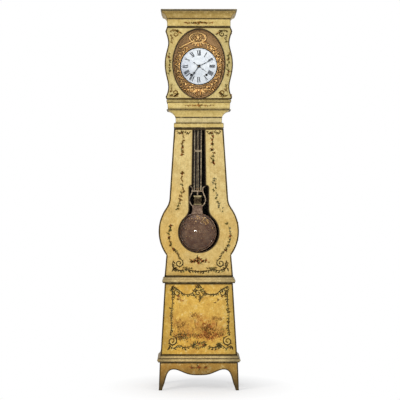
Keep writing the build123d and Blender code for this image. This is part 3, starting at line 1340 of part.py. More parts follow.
def build():
    """Makes every piece in its place and writes each to its own file."""
    front, sides = base_panels()
    write(front, "base_front")
    write(sides, "base_sides")
    write(base_floor(), "base_floor")
    write(base_moulding(), "base_moulding")
    apron_front, apron_sides = aprons()
    write(apron_front, "apron_front")
    write(apron_sides, "apron_sides")
    write(waist_moulding(), "waist_moulding")
    walls = trunk_sides().solids().sort_by(Axis.X)
    write(walls[0], "trunk_side_left")
    write(walls[1], "trunk_side_right")
    write(back_board(), "back_board")
    write(collar_moulding(), "collar_moulding")
    write(neck_band(), "neck_band")
    write(cove_moulding(), "cove_moulding")
    write(hood_rail(), "hood_rail")
    write(hood_side(HOOD_HINGES), "hood_side_right")
    write(mirror(hood_side(()), about=Plane.YZ), "hood_side_left")
    write(hood_frieze(), "hood_frieze")
    write(cornice(), "cornice")
    write(top_board(), "top_board")
    write(seat_board(), "seat_board")

    door, glass, bead = trunk_door()
    write(door, "trunk_door")
    write(glass, "trunk_glass")
    write(bead, "trunk_glass_bead")
    door, glass, bead = hood_door()
    write(door, "hood_door")
    write(glass, "hood_glass")
    write(bead, "hood_glass_bead")
    trunk = [
        hinge(TRUNK_HINGE_X, TRUNK_DOOR_BACK, z, TRUNK_HINGE_HEIGHT, DOOR_LEAF, TRUNK_CASE_LEAF)
        for z in TRUNK_HINGES
    ]
    hood = [
        hinge(HOOD_HINGE_X, HOOD_DOOR_BACK, z, HOOD_HINGE_HEIGHT, DOOR_LEAF / 2, HOOD_CASE_LEAF)
        for z in HOOD_HINGES
    ]
    write(Compound(children=[pair[0] for pair in trunk]), "trunk_hinge_leaves")
    write(Compound(children=[pair[0] for pair in hood]), "hood_hinge_leaves")
    write(Compound(children=[pair[1] for pair in trunk + hood]), "hinge_plates")

    write(movement_cage(), "movement_cage")
    write(bearing_bars(), "bearing_bars")
    write(bell(), "bell")
    write(dial(), "dial")
    write(dial_surround(), "dial_surround")
    write(going_great_wheel(), "going_great_wheel")
    write(barrel(GOING_BARREL, GOING_DRUM_Y, GOING_GREAT_Y), "going_barrel")
    write(centre_wheel(), "centre_wheel")
    write(third_wheel(), "third_wheel")
    write(escape_wheel(), "escape_wheel")
    write(swung(anchor()), "anchor")
    write(minute_wheel(), "minute_wheel")
    write(hour_wheel(), "hour_wheel")
    minute, hour, alarm = hands()
    write(minute, "minute_hand")
    write(hour, "hour_hand")
    write(alarm, "alarm_hand")
    write(strike_great_wheel(), "strike_great_wheel")
    write(barrel(STRIKE_BARREL, STRIKE_DRUM_Y, STRIKE_GREAT_Y), "strike_barrel")
    write(pin_wheel(), "pin_wheel")
    write(strike_fly(), "strike_fly")
    write(hammer(), "hammer")

    write(swung(pendulum_suspension()), "pendulum_suspension")
    write(swung(pendulum_bars()), "pendulum_bars")
    write(swung(pendulum_lyre()), "pendulum_lyre")
    write(swung(pendulum_bob()), "pendulum_bob")
    write(swung(rating_nut()), "rating_nut")
    write(weight(-LINE_X, GOING_DRUM_Y), "going_weight")
    write(weight(LINE_X, STRIKE_DRUM_Y), "strike_weight")
    write(line(-LINE_X, GOING_DRUM_Y), "going_line")
    write(line(LINE_X, STRIKE_DRUM_Y), "strike_line")


build()
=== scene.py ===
import math
import random

import bpy
import numpy as np
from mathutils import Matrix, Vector


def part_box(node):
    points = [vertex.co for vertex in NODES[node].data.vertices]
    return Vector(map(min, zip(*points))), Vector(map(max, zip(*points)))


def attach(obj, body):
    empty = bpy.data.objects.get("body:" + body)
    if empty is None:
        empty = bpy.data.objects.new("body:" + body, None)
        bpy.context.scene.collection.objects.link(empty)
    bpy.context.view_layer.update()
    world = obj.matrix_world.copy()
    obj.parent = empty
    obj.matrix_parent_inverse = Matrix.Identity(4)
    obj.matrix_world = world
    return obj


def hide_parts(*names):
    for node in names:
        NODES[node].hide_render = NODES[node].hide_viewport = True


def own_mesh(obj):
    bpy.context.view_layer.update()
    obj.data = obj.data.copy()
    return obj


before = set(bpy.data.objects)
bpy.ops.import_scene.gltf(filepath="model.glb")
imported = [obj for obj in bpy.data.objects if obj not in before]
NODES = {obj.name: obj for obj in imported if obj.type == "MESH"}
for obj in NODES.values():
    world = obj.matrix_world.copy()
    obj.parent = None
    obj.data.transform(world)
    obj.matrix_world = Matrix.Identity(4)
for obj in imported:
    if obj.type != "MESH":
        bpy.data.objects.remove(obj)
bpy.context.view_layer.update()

# ---------------------------------------------------------------- camera
# A long lens at chest height, a little left of the clock's middle, so that its sides stay nearly parallel.
# It is aimed a touch down and to the right.

camera_data = bpy.data.cameras.new("camera")
camera_data.sensor_width = 36
camera_data.lens = 127
camera = bpy.data.objects.new("camera", camera_data)
bpy.context.collection.objects.link(camera)
camera.location = (-0.058, -9, 1.38)
camera.rotation_euler = (math.radians(88.826), 0, math.radians(-0.422))
bpy.context.scene.camera = camera

# ---------------------------------------------------------------- hood frame
# The top board, cornice, frieze, rail, cove, neck band and collar are planed pine, glued and pinned round
# the case. Their oil paint has dulled and cracked, and gives soft colour with hardly any shine. Dark lines
# run along every edge and joint, partly paint and partly painted shade, and dirt and painted shade darken
# the corners. Garlands of faded flowers are brushed on the frieze and the rail.

# Sizes and places are in millimetres, and this turns them into the frame's metres.
MM = 0.001


def linear(code):
    """An sRGB hex colour as linear RGBA."""
    channels = [int(code[i:i + 2], 16) / 255 for i in (1, 3, 5)]
    return [c / 12.92 if c <= 0.04045 else ((c + 0.055) / 1.055) ** 2.4 for c in channels] + [1]


def add(tree, kind, inputs=None, out=0, **settings):
    """Adds a node and returns one output. An input is another node's output, a hex colour or a value."""
    node = tree.nodes.new("ShaderNode" + kind)
    for key, value in settings.items():
        setattr(node, key, value)
    for key, value in (inputs or {}).items():
        if isinstance(value, bpy.types.NodeSocket):
            tree.links.new(value, node.inputs[key])
        else:
            node.inputs[key].default_value = linear(value) if isinstance(value, str) else value
    return node.outputs[out]


# A Map Range takes its value at input 0, the range it comes from at 1 and 2, and the range it goes to at 3
# and 4. A Mix of colours takes its share at input 0 and the colours at 6 and 7, and gives its colour at
# output 2.
RGBA = {"out": 2, "data_type": "RGBA"}


def new_material(name, **values):
    """A material with its shader, whose plain socket values are given by name with underscores."""
    material = bpy.data.materials.new(name)
    material.use_nodes = True
    shader = material.node_tree.nodes["Principled BSDF"]
    for key, value in values.items():
        shader.inputs[key.replace("_", " ")].default_value = value
    return material, material.node_tree, shader


def dark_lines(tree, where, lines):
    """For (height, width, strength) in millimetres: the strength on each line, nought elsewhere."""
    z = add(tree, "SeparateXYZ", {"Vector": where}, out="Z")
    total = None
    for height, width, strength in lines:
        line = add(tree, "Math", {0: z, 1: height * MM, 2: width / 2 * MM}, operation="COMPARE")
        line = add(tree, "Math", {0: line, 1: strength}, operation="MULTIPLY")
        total = line if total is None else add(tree, "Math", {0: total, 1: line}, operation="MAXIMUM")
    return total


def blotches(tree, where, size, detail, rough, low, high, start=0, end=1):
    """Clouds about size millimetres across: start where their noise is low, end where it is high."""
    cloud = add(tree, "TexNoise",
                {"Vector": where, "Scale": 1000 / size, "Detail": detail, "Roughness": rough})
    return add(tree, "MapRange", {0: cloud, 1: low, 2: high, 3: start, 4: end})


def oil_paint(name, gold, light, shade, edge="#372c14", edge_width=11, heights=(), stain=None, sides=None,
              toes=None, wear=1.0):
    """Old oil paint on pine: golden low and left, paler high and right, cracked and dark on its edges."""
    material, tree, shader = new_material(name, Roughness=0.55, Specular_IOR_Level=0.2)
    where = add(tree, "TexCoord", out="Object")
    x = add(tree, "SeparateXYZ", {"Vector": where}, out="X")
    z = add(tree, "SeparateXYZ", {"Vector": where}, out="Z")

    # The ground tone drifts over the clock in clouds 240 mm wide.
    side = add(tree, "MapRange", {0: x, 1: -0.22, 2: 0.22, 4: 0.45})
    rise = add(tree, "MapRange", {0: z, 1: 0.6, 2: 1.6, 4: 0.8})
    drift = blotches(tree, where, 240, 3, 0.55, 0.35, 0.65, -0.25, 0.35)
    tone = add(tree, "Math", {0: side, 1: rise}, operation="ADD")
    tone = add(tree, "Math", {0: tone, 1: drift}, operation="ADD", use_clamp=True)
    colour = add(tree, "Mix", {0: tone, 6: gold, 7: light}, **RGBA)

    # Blotches by their size in millimetres: blushes, mottling, rubbed places, scratches and grime.
    streaks = add(tree, "Mapping", {"Vector": where, "Scale": (1, 1, 0.07)})
    for vector, size, detail, rough, low, high, share, tint in (
            (where, 120, 4, 0.6, 0.5, 0.7, 0.55 * wear, shade),
            (where, 26, 6, 0.7, 0.45, 0.7, 0.7 * wear, shade),
            (where, 26, 6, 0.7, 0.46, 0.3, 0.55 * wear, "#e4d094"),
            (streaks, 5, 5, 0.7, 0.54, 0.7, 0.45, "#8a7235"),
            (where, 8, 5, 0.75, 0.52, 0.72, 0.6, "#7f6a35")):
        cover = blotches(tree, vector, size, detail, rough, low, high, 0, share)
        colour = add(tree, "Mix", {0: cover, 6: colour, 7: tint}, **RGBA)
    if stain:
        middle_x, middle_z, wide, high, umber = stain
        middle = add(tree, "CombineXYZ", {"X": middle_x * MM, "Z": middle_z * MM})
        spread = add(tree, "VectorMath", {0: where, 1: middle}, operation="SUBTRACT")
        shrink = (1 / (wide * MM), 0, 1 / (high * MM))
        spread = add(tree, "VectorMath", {0: spread, 1: shrink}, operation="MULTIPLY")
        far = add(tree, "VectorMath", {0: spread}, out="Value", operation="LENGTH")
        near = add(tree, "MapRange", {0: far, 1: 0.55, 2: 1.15, 3: 1, 4: 0})
        blot = blotches(tree, where, 34, 6, 0.75, 0.4, 0.62)
        cover = add(tree, "Math", {0: near, 1: blot}, operation="MULTIPLY")
        cover = add(tree, "MapRange", {0: cover, 4: 0.75})
        colour = add(tree, "Mix", {0: cover, 6: colour, 7: umber}, **RGBA)
    if sides:
        out = add(tree, "Math", {0: x, 1: -0.95}, operation="MULTIPLY")
        out = add(tree, "Math", {0: out, 1: x}, operation="MAXIMUM")
        out = add(tree, "MapRange", {0: out, 1: 0.14, 2: 0.23, 4: 0.5})
        colour = add(tree, "Mix", {0: out, 6: colour, 7: sides}, **RGBA)
    if toes:
        low = add(tree, "MapRange", {0: z, 1: 0.17, 2: 0.03, 4: 0.9})
        colour = add(tree, "Mix", {0: low, 6: colour, 7: toes}, **RGBA)

    # Fine cracks round flakes of 11 mm, faint and only in some of the clouds.
    flakes = add(tree, "TexVoronoi", {"Vector": where, "Scale": 1000 / 11}, feature="DISTANCE_TO_EDGE")
    crack = add(tree, "MapRange", {0: flakes, 1: 0.0, 2: 0.035, 3: 1, 4: 0})
    some = blotches(tree, where, 240, 3, 0.55, 0.45, 0.62, 0, 0.35)
    faint = add(tree, "Math", {0: crack, 1: some}, operation="MULTIPLY")
    colour = add(tree, "Mix", {0: faint, 6: colour, 7: "#6b5526"}, **RGBA)

    # Dirt and painted shade darken the corners; a worn dark line runs along each edge and each given height.
    corner_dirt_and_shade = add(tree, "AmbientOcclusion", {"Distance": 0.03}, out="AO", samples=4, inside=False)
    corner_dirt_and_shade = add(tree, "MapRange", {0: corner_dirt_and_shade, 1: 0.35, 2: 0.85, 3: 0.85, 4: 0})
    colour = add(tree, "Mix", {0: corner_dirt_and_shade, 6: colour, 7: "#4f3d1c"}, **RGBA)
    bevel = add(tree, "Bevel", {"Radius": edge_width * MM}, samples=6)
    flat = add(tree, "NewGeometry", out="Normal")
    line = add(tree, "VectorMath", {0: bevel, 1: flat}, out="Value", operation="DOT_PRODUCT")
    line = add(tree, "MapRange", {0: line, 1: 0.9, 2: 0.992, 3: 1, 4: 0})
    if heights:
        line = add(tree, "Math", {0: line, 1: dark_lines(tree, where, heights)}, operation="MAXIMUM")
    worn = blotches(tree, where, 18, 4, 0.7, 0.32, 0.5, 0.6)
    line = add(tree, "Math", {0: line, 1: worn}, operation="MULTIPLY")
    tree.links.new(add(tree, "Mix", {0: line, 6: colour, 7: edge}, **RGBA), shader.inputs["Base Color"])

    mottle = add(tree, "TexNoise", {"Vector": where, "Scale": 1000 / 26, "Detail": 6, "Roughness": 0.7})
    sheen = add(tree, "MapRange", {0: mottle, 1: 0.3, 2: 0.7, 3: 0.42, 4: 0.6})
    tree.links.new(sheen, shader.inputs["Roughness"])
    height = add(tree, "Math", {0: mottle, 1: crack}, operation="SUBTRACT")
    bump = add(tree, "Bump", {"Height": height, "Strength": 0.35, "Distance": 0.5 * MM})
    tree.links.new(bump, shader.inputs["Normal"])
    return material


def coat(material, *names):
    """Gives whole CAD nodes one material."""
    for name in names:
        NODES[name].data.materials.clear()
        NODES[name].data.materials.append(material)


def foot(name):
    """The height of a CAD node's lower edge, in millimetres."""
    return round(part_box(name)[0].z / MM, 1)


def head(name):
    """The height of a CAD node's upper edge, in millimetres."""
    return round(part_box(name)[1].z / MM, 1)


def front(name):
    """The depth of a CAD node's foremost face, in millimetres."""
    return round(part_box(name)[0].y / MM, 1)


# Height, width and strength of the dark lines along the mouldings, in millimetres: partly paint lines,
# and partly painted shade under the lips of the mouldings
MOULDING_LINES_AND_SHADE = (
    (head("hood_frieze") - 3, 7, 1),
    (foot("hood_frieze") + 3, 7, 1),
    (head("hood_rail") - 6, 12, 0.45),
    (head("hood_rail") - 18, 5, 0.8),
    (foot("hood_rail") + 3, 14, 0.4),
    (head("cove_moulding") - 4, 5, 0.9),
    (foot("cove_moulding") + 3, 7, 1),
    (head("collar_moulding"), 5, 0.8),
    (foot("collar_moulding") + 3, 8, 1),
    (head("waist_moulding") - 1, 4, 0.4),
    (foot("waist_moulding") + 2, 6, 0.9),
    (head("base_moulding") - 1, 4, 0.8),
    (foot("base_moulding") + 23, 5, 0.9),
    (foot("base_moulding") + 2, 6, 0.9),
)
coat(oil_paint("frieze oil paint", "#c4a557", "#d0bb78", "#aa8c46", edge_width=7, heights=MOULDING_LINES_AND_SHADE),
     "collar_moulding", "cove_moulding", "hood_rail", "hood_frieze")
# The cornice's paint is a darker copy of the frieze's: painted shade for its hollow under the top board.
coat(oil_paint("cornice oil paint darkened as painted shade", "#a98c4a", "#b19758", "#8a7038", heights=MOULDING_LINES_AND_SHADE), "cornice")
coat(oil_paint("cream oil paint", "#c8b880", "#cdbd8a", "#b0a06a", edge_width=6), "neck_band")
coat(oil_paint("dark olive paint", "#595037", "#645a40", "#453c27", edge_width=3), "top_board")


def flat_paint(name, code, other, roughness, feature):
    """Hand-laid colour of one brush, thin in places. Features are brush marks in millimetres."""
    material, tree, shader = new_material(name, Roughness=roughness, Specular_IOR_Level=0.15)
    where = add(tree, "TexCoord", out="Object")
    thin = blotches(tree, where, feature, 4, 0.7, 0.35, 0.7)
    tree.links.new(add(tree, "Mix", {0: thin, 6: code, 7: other}, **RGBA), shader.inputs["Base Color"])
    return material


COLOURS = {
    "ink": flat_paint("dark brown line paint", "#33270c", "#54421b", 0.6, 9),
    "moss": flat_paint("moss leaf paint", "#49421a", "#6d6530", 0.6, 6),
    "umber": flat_paint("umber leaf paint", "#5f4319", "#8a652b", 0.6, 6),
    "red": flat_paint("brick petal paint", "#89461c", "#a1622f", 0.6, 5),
    "rose": flat_paint("faded petal paint", "#a06a30", "#b3803f", 0.6, 5),
    "rust": flat_paint("rust scene paint", "#9c5420", "#b57434", 0.6, 6),
    "slate": flat_paint("slate shadow paint", "#6b6444", "#857b52", 0.6, 7),
    "wash": flat_paint("thin sepia wash", "#b58238", "#bd9146", 0.6, 12),
    "cream": flat_paint("cream highlight paint", "#dccb86", "#cbb46a", 0.6, 5),
}
hand = random.Random(7)


def solid(name, verts, faces, material, body, smooth=False):
    """A closed mesh from points in millimetres, with one material, riding on a body."""
    name = name.replace(" ", "_")
    mesh = bpy.data.meshes.new(name)
    mesh.from_pydata([(x * MM, y * MM, z * MM) for x, y, z in verts], [], faces)
    mesh.validate()
    if smooth:
        mesh.polygons.foreach_set("use_smooth", [True] * len(mesh.polygons))
    made = bpy.data.objects.new(name, mesh)
    bpy.context.collection.objects.link(made)
    mesh.materials.append(material)
    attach(made, body)
    return made


def curve(points, steps):
    """A smooth line through points, as a Catmull-Rom curve."""
    points = [np.array(p, float) for p in points]
    ends = [2 * points[0] - points[1]] + points + [2 * points[-1] - points[-2]]
    line = []
    for a, b, c, d in zip(ends, ends[1:], ends[2:], ends[3:]):
        for t in np.arange(steps) / steps:
            line.append(tuple(0.5 * (2 * b + (c - a) * t + (2 * a - 5 * b + 4 * c - d) * t**2
                                     + (3 * b - a - 3 * c + d) * t**3)))
    return line + [tuple(points[-1])]


class Brush:
    """Thin closed strokes of one colour, lying on one painted face and merged into one mesh."""

    FINEST = 0.3
    SUNK = 0.15

    def __init__(self, face, lift=0.4):
        self.face = face if callable(face) else lambda x, z: face
        self.lift = lift
        self.verts = []
        self.faces = []

    def stroke(self, line, widths):
        """A strip along a line; widths are its full widths, spread evenly over its length."""
        count = len(line)
        base = len(self.verts)
        for index, (x, z) in enumerate(line):
            before = line[max(index - 1, 0)]
            after = line[min(index + 1, count - 1)]
            dx, dz = after[0] - before[0], after[1] - before[1]
            length = math.hypot(dx, dz) or 1
            share = index / (count - 1) * (len(widths) - 1)
            low = min(int(share), len(widths) - 2)
            width = widths[low] + (widths[low + 1] - widths[low]) * (share - low)
            half = max(width, self.FINEST) / 2
            for side in (-1, 1):
                px, pz = x - side * dz / length * half, z + side * dx / length * half
                y = self.face(px, pz)
                self.verts += [(px, y - self.lift, pz), (px, y + self.SUNK, pz)]
        for index in range(count - 1):
            a, b = base + index * 4, base + index * 4 + 4
            self.faces += [(a, b, b + 2, a + 2), (a + 1, a + 3, b + 3, b + 1),
                           (a, a + 1, b + 1, b), (a + 2, b + 2, b + 3, a + 3)]
        last = base + (count - 1) * 4
        self.faces += [(base, base + 2, base + 3, base + 1), (last, last + 1, last + 3, last + 2)]

    def leaf(self, x, z, angle, length, width, bend=0.15):
        """A pointed leaf or petal that grows from (x, z) at an angle in degrees."""
        turn = math.radians(angle)
        side = bend * length
        tip = (x + length * math.cos(turn), z + length * math.sin(turn))
        middle = (x + length / 2 * math.cos(turn) - side * math.sin(turn),
                  z + length / 2 * math.sin(turn) + side * math.cos(turn))
        self.stroke(curve([(x, z), middle, tip], 3),
                    (width * 0.15, width * 0.85, width, width * 0.7, self.FINEST))

    def dot(self, x, z, radius):
        """A round dab of paint."""
        ring = [(x + radius * math.cos(math.pi * t), z) for t in (1, 0.7, 0.5, 0.3, 0)]
        self.stroke(ring, (0.4, radius * 1.5, radius * 2, radius * 1.5, 0.4))

    def spiral(self, x, z, radius, start, turns, way, width):
        """A scroll that winds inwards from its outer end."""
        steps = int(18 * turns)
        line = []
        for step in range(steps + 1):
            share = step / steps
            angle = math.radians(start) + way * share * turns * 2 * math.pi
            r = radius * (1 - 0.8 * share)
            line.append((x + r * math.cos(angle), z + r * math.sin(angle)))
        self.stroke(line, (width * 0.5, width, width * 0.9, width * 0.6, width * 0.9))
        return line

    def make(self, name, material, body, node_slot):
        """Turns the strokes into an object."""
        return solid(name, self.verts, self.faces, material, body)


def brushes(face):
    """One empty brush of each colour for a face."""
    return {kind: Brush(face) for kind in COLOURS}


def lay(pots, label, body, node_slot):
    """Makes one object from each brush that was used."""
    for kind, brush in pots.items():
        if brush.verts:
            brush.make(label + " " + kind, COLOURS[kind], body, node_slot)


def flower(pots, x, z, radius, petals=5, kind="red"):
    """A five-petalled flower with a light centre and a leaf or two behind it."""
    turn = hand.uniform(0, 360)
    for number in range(2):
        pots["moss"].leaf(x, z, turn + 40 + number * 150, radius * 1.7, radius * 0.5, 0.2)
    for number in range(petals):
        angle = turn + number * 360 / petals + hand.uniform(-12, 12)
        reach = radius * hand.uniform(0.8, 1.1)
        pots["rose" if number == 1 and kind == "red" else kind].leaf(x, z, angle, reach, reach * 0.7, 0.08)
    pots["cream"].dot(x, z, radius * 0.2)


def sprig(pots, points, leaf_size, kinds, flowers, stem=1.3):
    """A thin wandering stem with loose clumps of leaves and now and then a small flower."""
    line = curve(points, 8)
    pots[kinds[-1]].stroke([(x + hand.uniform(-1.2, 1.2), z) for x, z in line], (stem, stem, stem * 0.6))
    total = sum(math.dist(a, b) for a, b in zip(line, line[1:]))
    clumps = max(3, int(total / leaf_size * 1.15))
    for clump in range(clumps):
        share = (clump + hand.uniform(0.2, 0.8)) / clumps * (len(line) - 1)
        index = min(int(share), len(line) - 2)
        x = line[index][0] + hand.gauss(0, leaf_size * 0.28)
        z = line[index][1] + hand.gauss(0, leaf_size * 0.12)
        if hand.random() < flowers:
            flower(pots, x, z, leaf_size * 0.6)
            continue
        kind, first = hand.choice(kinds), hand.uniform(0, 360)
        for number in range(hand.choice((2, 3, 4, 5))):
            length = leaf_size * hand.uniform(0.45, 0.95)
            pots[kind].leaf(x, z, first + number * hand.uniform(38, 75), length, length * 0.5, 0.16)


FRIEZE_Z = foot("hood_frieze") + 26
frieze = brushes(front("hood_frieze"))
for side in (-1, 1):
    sprig(frieze, [(side * 10, FRIEZE_Z + 1), (side * 45, FRIEZE_Z - 2), (side * 98, FRIEZE_Z + 2)], 10,
          ("rose", "umber"), 0.15)
flower(frieze, 0, FRIEZE_Z, 12, 6, "rose")
flower(frieze, -25, FRIEZE_Z - 2, 9, 5, "rose")
flower(frieze, 23, FRIEZE_Z + 1, 9, 5, "rose")
lay(frieze, "frieze garland", "case", "hood_frieze")

RAIL_FOOT = foot("hood_rail")
RAIL_FOOT_Y = -118
RAIL_FLAT = 44
RAIL_LEAN = 2
RAIL_Z = RAIL_FOOT + 25
rail = brushes(lambda x, z: RAIL_FOOT_Y - RAIL_LEAN * (z - RAIL_FOOT) / RAIL_FLAT)
for side in (-1, 1):
    sprig(rail, [(side * 12, RAIL_Z), (side * 45, RAIL_Z - 2), (side * 92, RAIL_Z + 1)], 10,
          ("rose", "umber"), 0.15)
flower(rail, 0, RAIL_Z + 1, 12, 6, "rose")
lay(rail, "rail garland", "case", "hood_rail")

# ---------------------------------------------------------------- hood door
# A pine frame of violin outline, cut out round an oval light and painted like the sides of the hood.
# Scrolls and leaves are brushed into its corners, sprigs beside the oval and a dark line along its edge.

coat(oil_paint("hood oil paint", "#c9a857", "#c9b77c", "#ac9350", sides="#827a45", wear=0.8),
     "hood_door", "hood_side_left", "hood_side_right")


def rim_loops(name):
    """The closed outlines of a board's front face, in millimetres, longest first."""
    mesh = NODES[name].data
    uses = {}
    for face in mesh.polygons:
        if face.normal.y < -0.9:
            for edge in face.edge_keys:
                uses[edge] = uses.get(edge, 0) + 1
    nexts = {}
    for a, b in (edge for edge, count in uses.items() if count == 1):
        nexts.setdefault(a, []).append(b)
        nexts.setdefault(b, []).append(a)
    loops, left = [], set(nexts)
    while left:
        at = left.pop()
        loop = [at]
        while True:
            onward = [v for v in nexts[at] if v in left]
            if not onward:
                break
            at = onward[0]
            left.discard(at)
            loop.append(at)
        loops.append([(mesh.vertices[v].co.x / MM, mesh.vertices[v].co.z / MM) for v in loop])
    return sorted(loops, key=lambda loop: -sum(math.dist(a, b) for a, b in zip(loop, loop[1:])))


def edge_line(pots, loop, width):
    """A dark line just inside a closed outline, about the given width, thinning and swelling a little along
    it.
    """
    area = sum(a[0] * b[1] - b[0] * a[1] for a, b in zip(loop, loop[1:] + loop[:1]))
    turn = 1 if area > 0 else -1
    for (x0, z0), (x1, z1) in zip(loop, loop[1:] + loop[:1]):
        length = math.dist((x0, z0), (x1, z1))
        if length < 0.05:
            continue
        ux, uz = (x1 - x0) / length, (z1 - z0) / length
        parts = max(1, int(length / 60))
        inset = width / 2 + 0.2
        aside, up = -turn * uz * inset, turn * ux * inset
        line = [(x0 + ux * length * t / parts + aside, z0 + uz * length * t / parts + up)
                for t in range(parts + 1)]
        line = [(x, max(z, width * 0.6)) for x, z in line]
        pots["ink"].stroke(line, [width * hand.uniform(0.75, 1.1) for _ in range(parts + 1)])


def rocaille(pots, points, size, width, lobes=1, kind="ink"):
    """A firm dark line that swells and thins, with curled lobes on one side and a pale line under it."""
    line = curve(points, 8)
    pots[kind].stroke(line, [width * hand.uniform(0.5, 1.25) for _ in range(max(4, len(line) // 3))])
    under = [(x, z - width * 0.8) for x, z in line[2:-2]]
    pots["cream"].stroke(under, (0.6, width * 0.35, 0.6))
    gone = 0.0
    for (x0, z0), (x1, z1) in zip(line, line[1:]):
        gone += math.dist((x0, z0), (x1, z1))
        if gone < size * hand.uniform(0.5, 1.0):
            continue
        gone = 0.0
        heading = math.degrees(math.atan2(z1 - z0, x1 - x0))
        reach = size * hand.uniform(0.6, 1.2)
        tint = hand.choice((kind, kind, "moss"))
        pots[tint].leaf(x0, z0, heading + lobes * hand.uniform(35, 65), reach, reach * 0.5, lobes * 0.3)
        if hand.random() < 0.5:
            pots["umber"].leaf(x0, z0, heading - lobes * 48, reach * 0.7, reach * 0.34, -lobes * 0.3)


def scroll(pots, x, z, radius, start, turns, way, width, kind="ink"):
    """A thick volute with a pale inner line and a few lobes on its back."""
    line = pots[kind].spiral(x, z, radius, start, turns, way, width)
    pots["cream"].spiral(x, z, radius - width * 0.8, start, turns * 0.7, way, width * 0.35)
    for px, pz in line[2:len(line) // 2:3]:
        out = math.degrees(math.atan2(pz - z, px - x))
        tint = hand.choice(("moss", kind))
        pots[tint].leaf(px, pz, out + way * 35, radius * 0.42, radius * 0.18, way * 0.3)


# Each corner ornament by its middle, its direction sideways and upwards, and the colour of its lines
CORNERS = ((-152, 2248, -1, 1, "umber"), (152, 2248, 1, 1, "ink"),
           (-154, 1864, -1, -1, "umber"), (154, 1864, 1, -1, "umber"))
door = brushes(front("hood_door"))
edge_line(door, rim_loops("hood_door")[0], 7.5)
for x, z, sx, sz, kind in CORNERS:
    scroll(door, x - sx * 6, z - sz * 8, 18, 90 * sz, 1.3, sx * sz, 7.5, kind)
    inward = [(x + sx * 30, z + sz * 4), (x + sx * 12, z + sz * 16), (x - sx * 26, z + sz * 14)]
    rocaille(door, inward, 15, 6.5, sx * sz, kind)
    upright = [(x + sx * 26, z - sz * 10), (x + sx * 18, z - sz * 34), (x + sx * 24, z - sz * 62)]
    rocaille(door, upright, 13, 5, -sx * sz, kind)
    for number, tint in enumerate(("umber", "moss", "rose", "umber", kind, "cream")):
        spot = (x - sx * (8 + number * 6), z + sz * (4 - number * 2))
        door[tint].leaf(*spot, 90 * sz + sx * (50 + number * 14), 19, 7, 0.2)
for side in (-1, 1):
    sprig(door, [(side * 187, 2114), (side * 184, 2050), (side * 188, 1974)], 14, ("umber", "moss"), 0.15, 2)
lay(door, "hood door", "hood_door", "hood_door")

# ---------------------------------------------------------------- trunk
# The trunk's sides bend out round the pendulum, and one long pine door covers its front. Its ochre oil
# paint is worn least. Swags hang under the collar, drops of flowers down both sides, and a garland of
# flowers lies below the light.

OCHRE = oil_paint("ochre oil paint", "#c69d45", "#d4be80", "#ae8a44", wear=0.75)
coat(OCHRE, "trunk_door", "trunk_side_left", "trunk_side_right")

# Each drop by its stem from top to bottom, its colours and its share of flowers
DROPS = (
    ([(-104, 1618), (-100, 1560), (-108, 1515), (-103, 1478)], ("umber", "moss"), 0.35),
    ([(92, 1618), (86, 1540), (92, 1470), (90, 1424)], ("umber", "moss"), 0.3),
    ([(-108, 1372), (-104, 1290), (-116, 1200), (-138, 1130)], ("moss", "umber"), 0.04),
    ([(100, 1345), (108, 1262), (116, 1190), (142, 1118)], ("moss", "slate"), 0.04),
    ([(-176, 1046), (-190, 985), (-176, 920), (-158, 872)], ("umber", "moss"), 0.2),
    ([(176, 1064), (198, 985), (190, 920), (168, 872)], ("slate", "moss"), 0.08),
)
# The garland's flowers by their middle, radius and colour
GARLAND = ((-26, 816, 12, "red"), (22, 812, 13, "red"), (0, 800, 12, "red"), (-48, 818, 9, "rose"),
           (46, 816, 10, "red"), (-12, 812, 12, "red"), (10, 822, 10, "red"), (-38, 808, 9, "red"))
trunk = brushes(front("trunk_door"))
edge_line(trunk, rim_loops("trunk_door")[0], 9)
for side in (-1, 1):
    swag = [(side * 48, 1632), (side * 68, 1614), (side * 96, 1628), (side * 122, 1613), (side * 142, 1634)]
    rocaille(trunk, swag, 12, 4, side)
for points, kinds, flowers in DROPS:
    sprig(trunk, points, 17, kinds, flowers, 1.5)
for side, x in ((-1, -124), (1, 138)):
    rocaille(trunk, [(x + side * 34, 886), (x + side * 14, 862), (x + side * 2, 838), (x - side * 2, 824)],
             13, 5.5, -side)
    scroll(trunk, x, 798, 28, 90, 1.45, side, 8)
    rocaille(trunk, [(x + side * 36, 814), (x + side * 42, 786), (x + side * 26, 760)], 16, 7.5, -side)
    rocaille(trunk, [(x + side * 32, 764), (x - side * 8, 751), (x - side * 46, 757), (x - side * 84, 750),
                     (x - side * 130, 744)], 17, 8, side)
    rocaille(trunk, [(x - side * 20, 770), (x - side * 52, 764), (x - side * 88, 762)], 12, 4, -side)
    trunk["ink"].leaf(x + side * 38, 770, -90 + side * 20, 28, 10)
flower(trunk, -4, 828, 15, 6, "rose")
for x, z, radius, kind in GARLAND:
    flower(trunk, x, z, radius, 5, kind)
for side in (-1, 1):
    sprig(trunk, [(side * 30, 808), (side * 48, 803), (side * 66, 812)], 12, ("rose", "umber"), 0.1)
lay(trunk, "trunk", "trunk_door", "trunk_door")

# ---------------------------------------------------------------- base
# A wide pine board leans back between the base moulding and the waist moulding. Its oil paint is stained
# with umber in the middle and rubbed more than the rest. Scrolls frame it, with a spray at the foot.

coat(oil_paint("base oil paint", "#d6aa44", "#dab863", "#b58535", stain=(10, 385, 170, 95, "#a8692a"),
               sides="#86752f", wear=1.25), "base_front")
coat(OCHRE, "base_sides")
coat(oil_paint("grey ochre paint", "#cbb178", "#cfbd8c", "#a28b5a", edge_width=7, heights=MOULDING_LINES_AND_SHADE,
               sides="#4c4227"), "base_moulding", "waist_moulding")
BASE_Y = front("base_front")
BASE_LEAN = 26
BASE_FOOT = head("base_moulding")
BASE_HEIGHT = head("base_front") - BASE_FOOT


def base_face(x, z):
    """The depth of the base board's front, which leans back as it rises."""
    return BASE_Y + BASE_LEAN * (z - BASE_FOOT) / BASE_HEIGHT


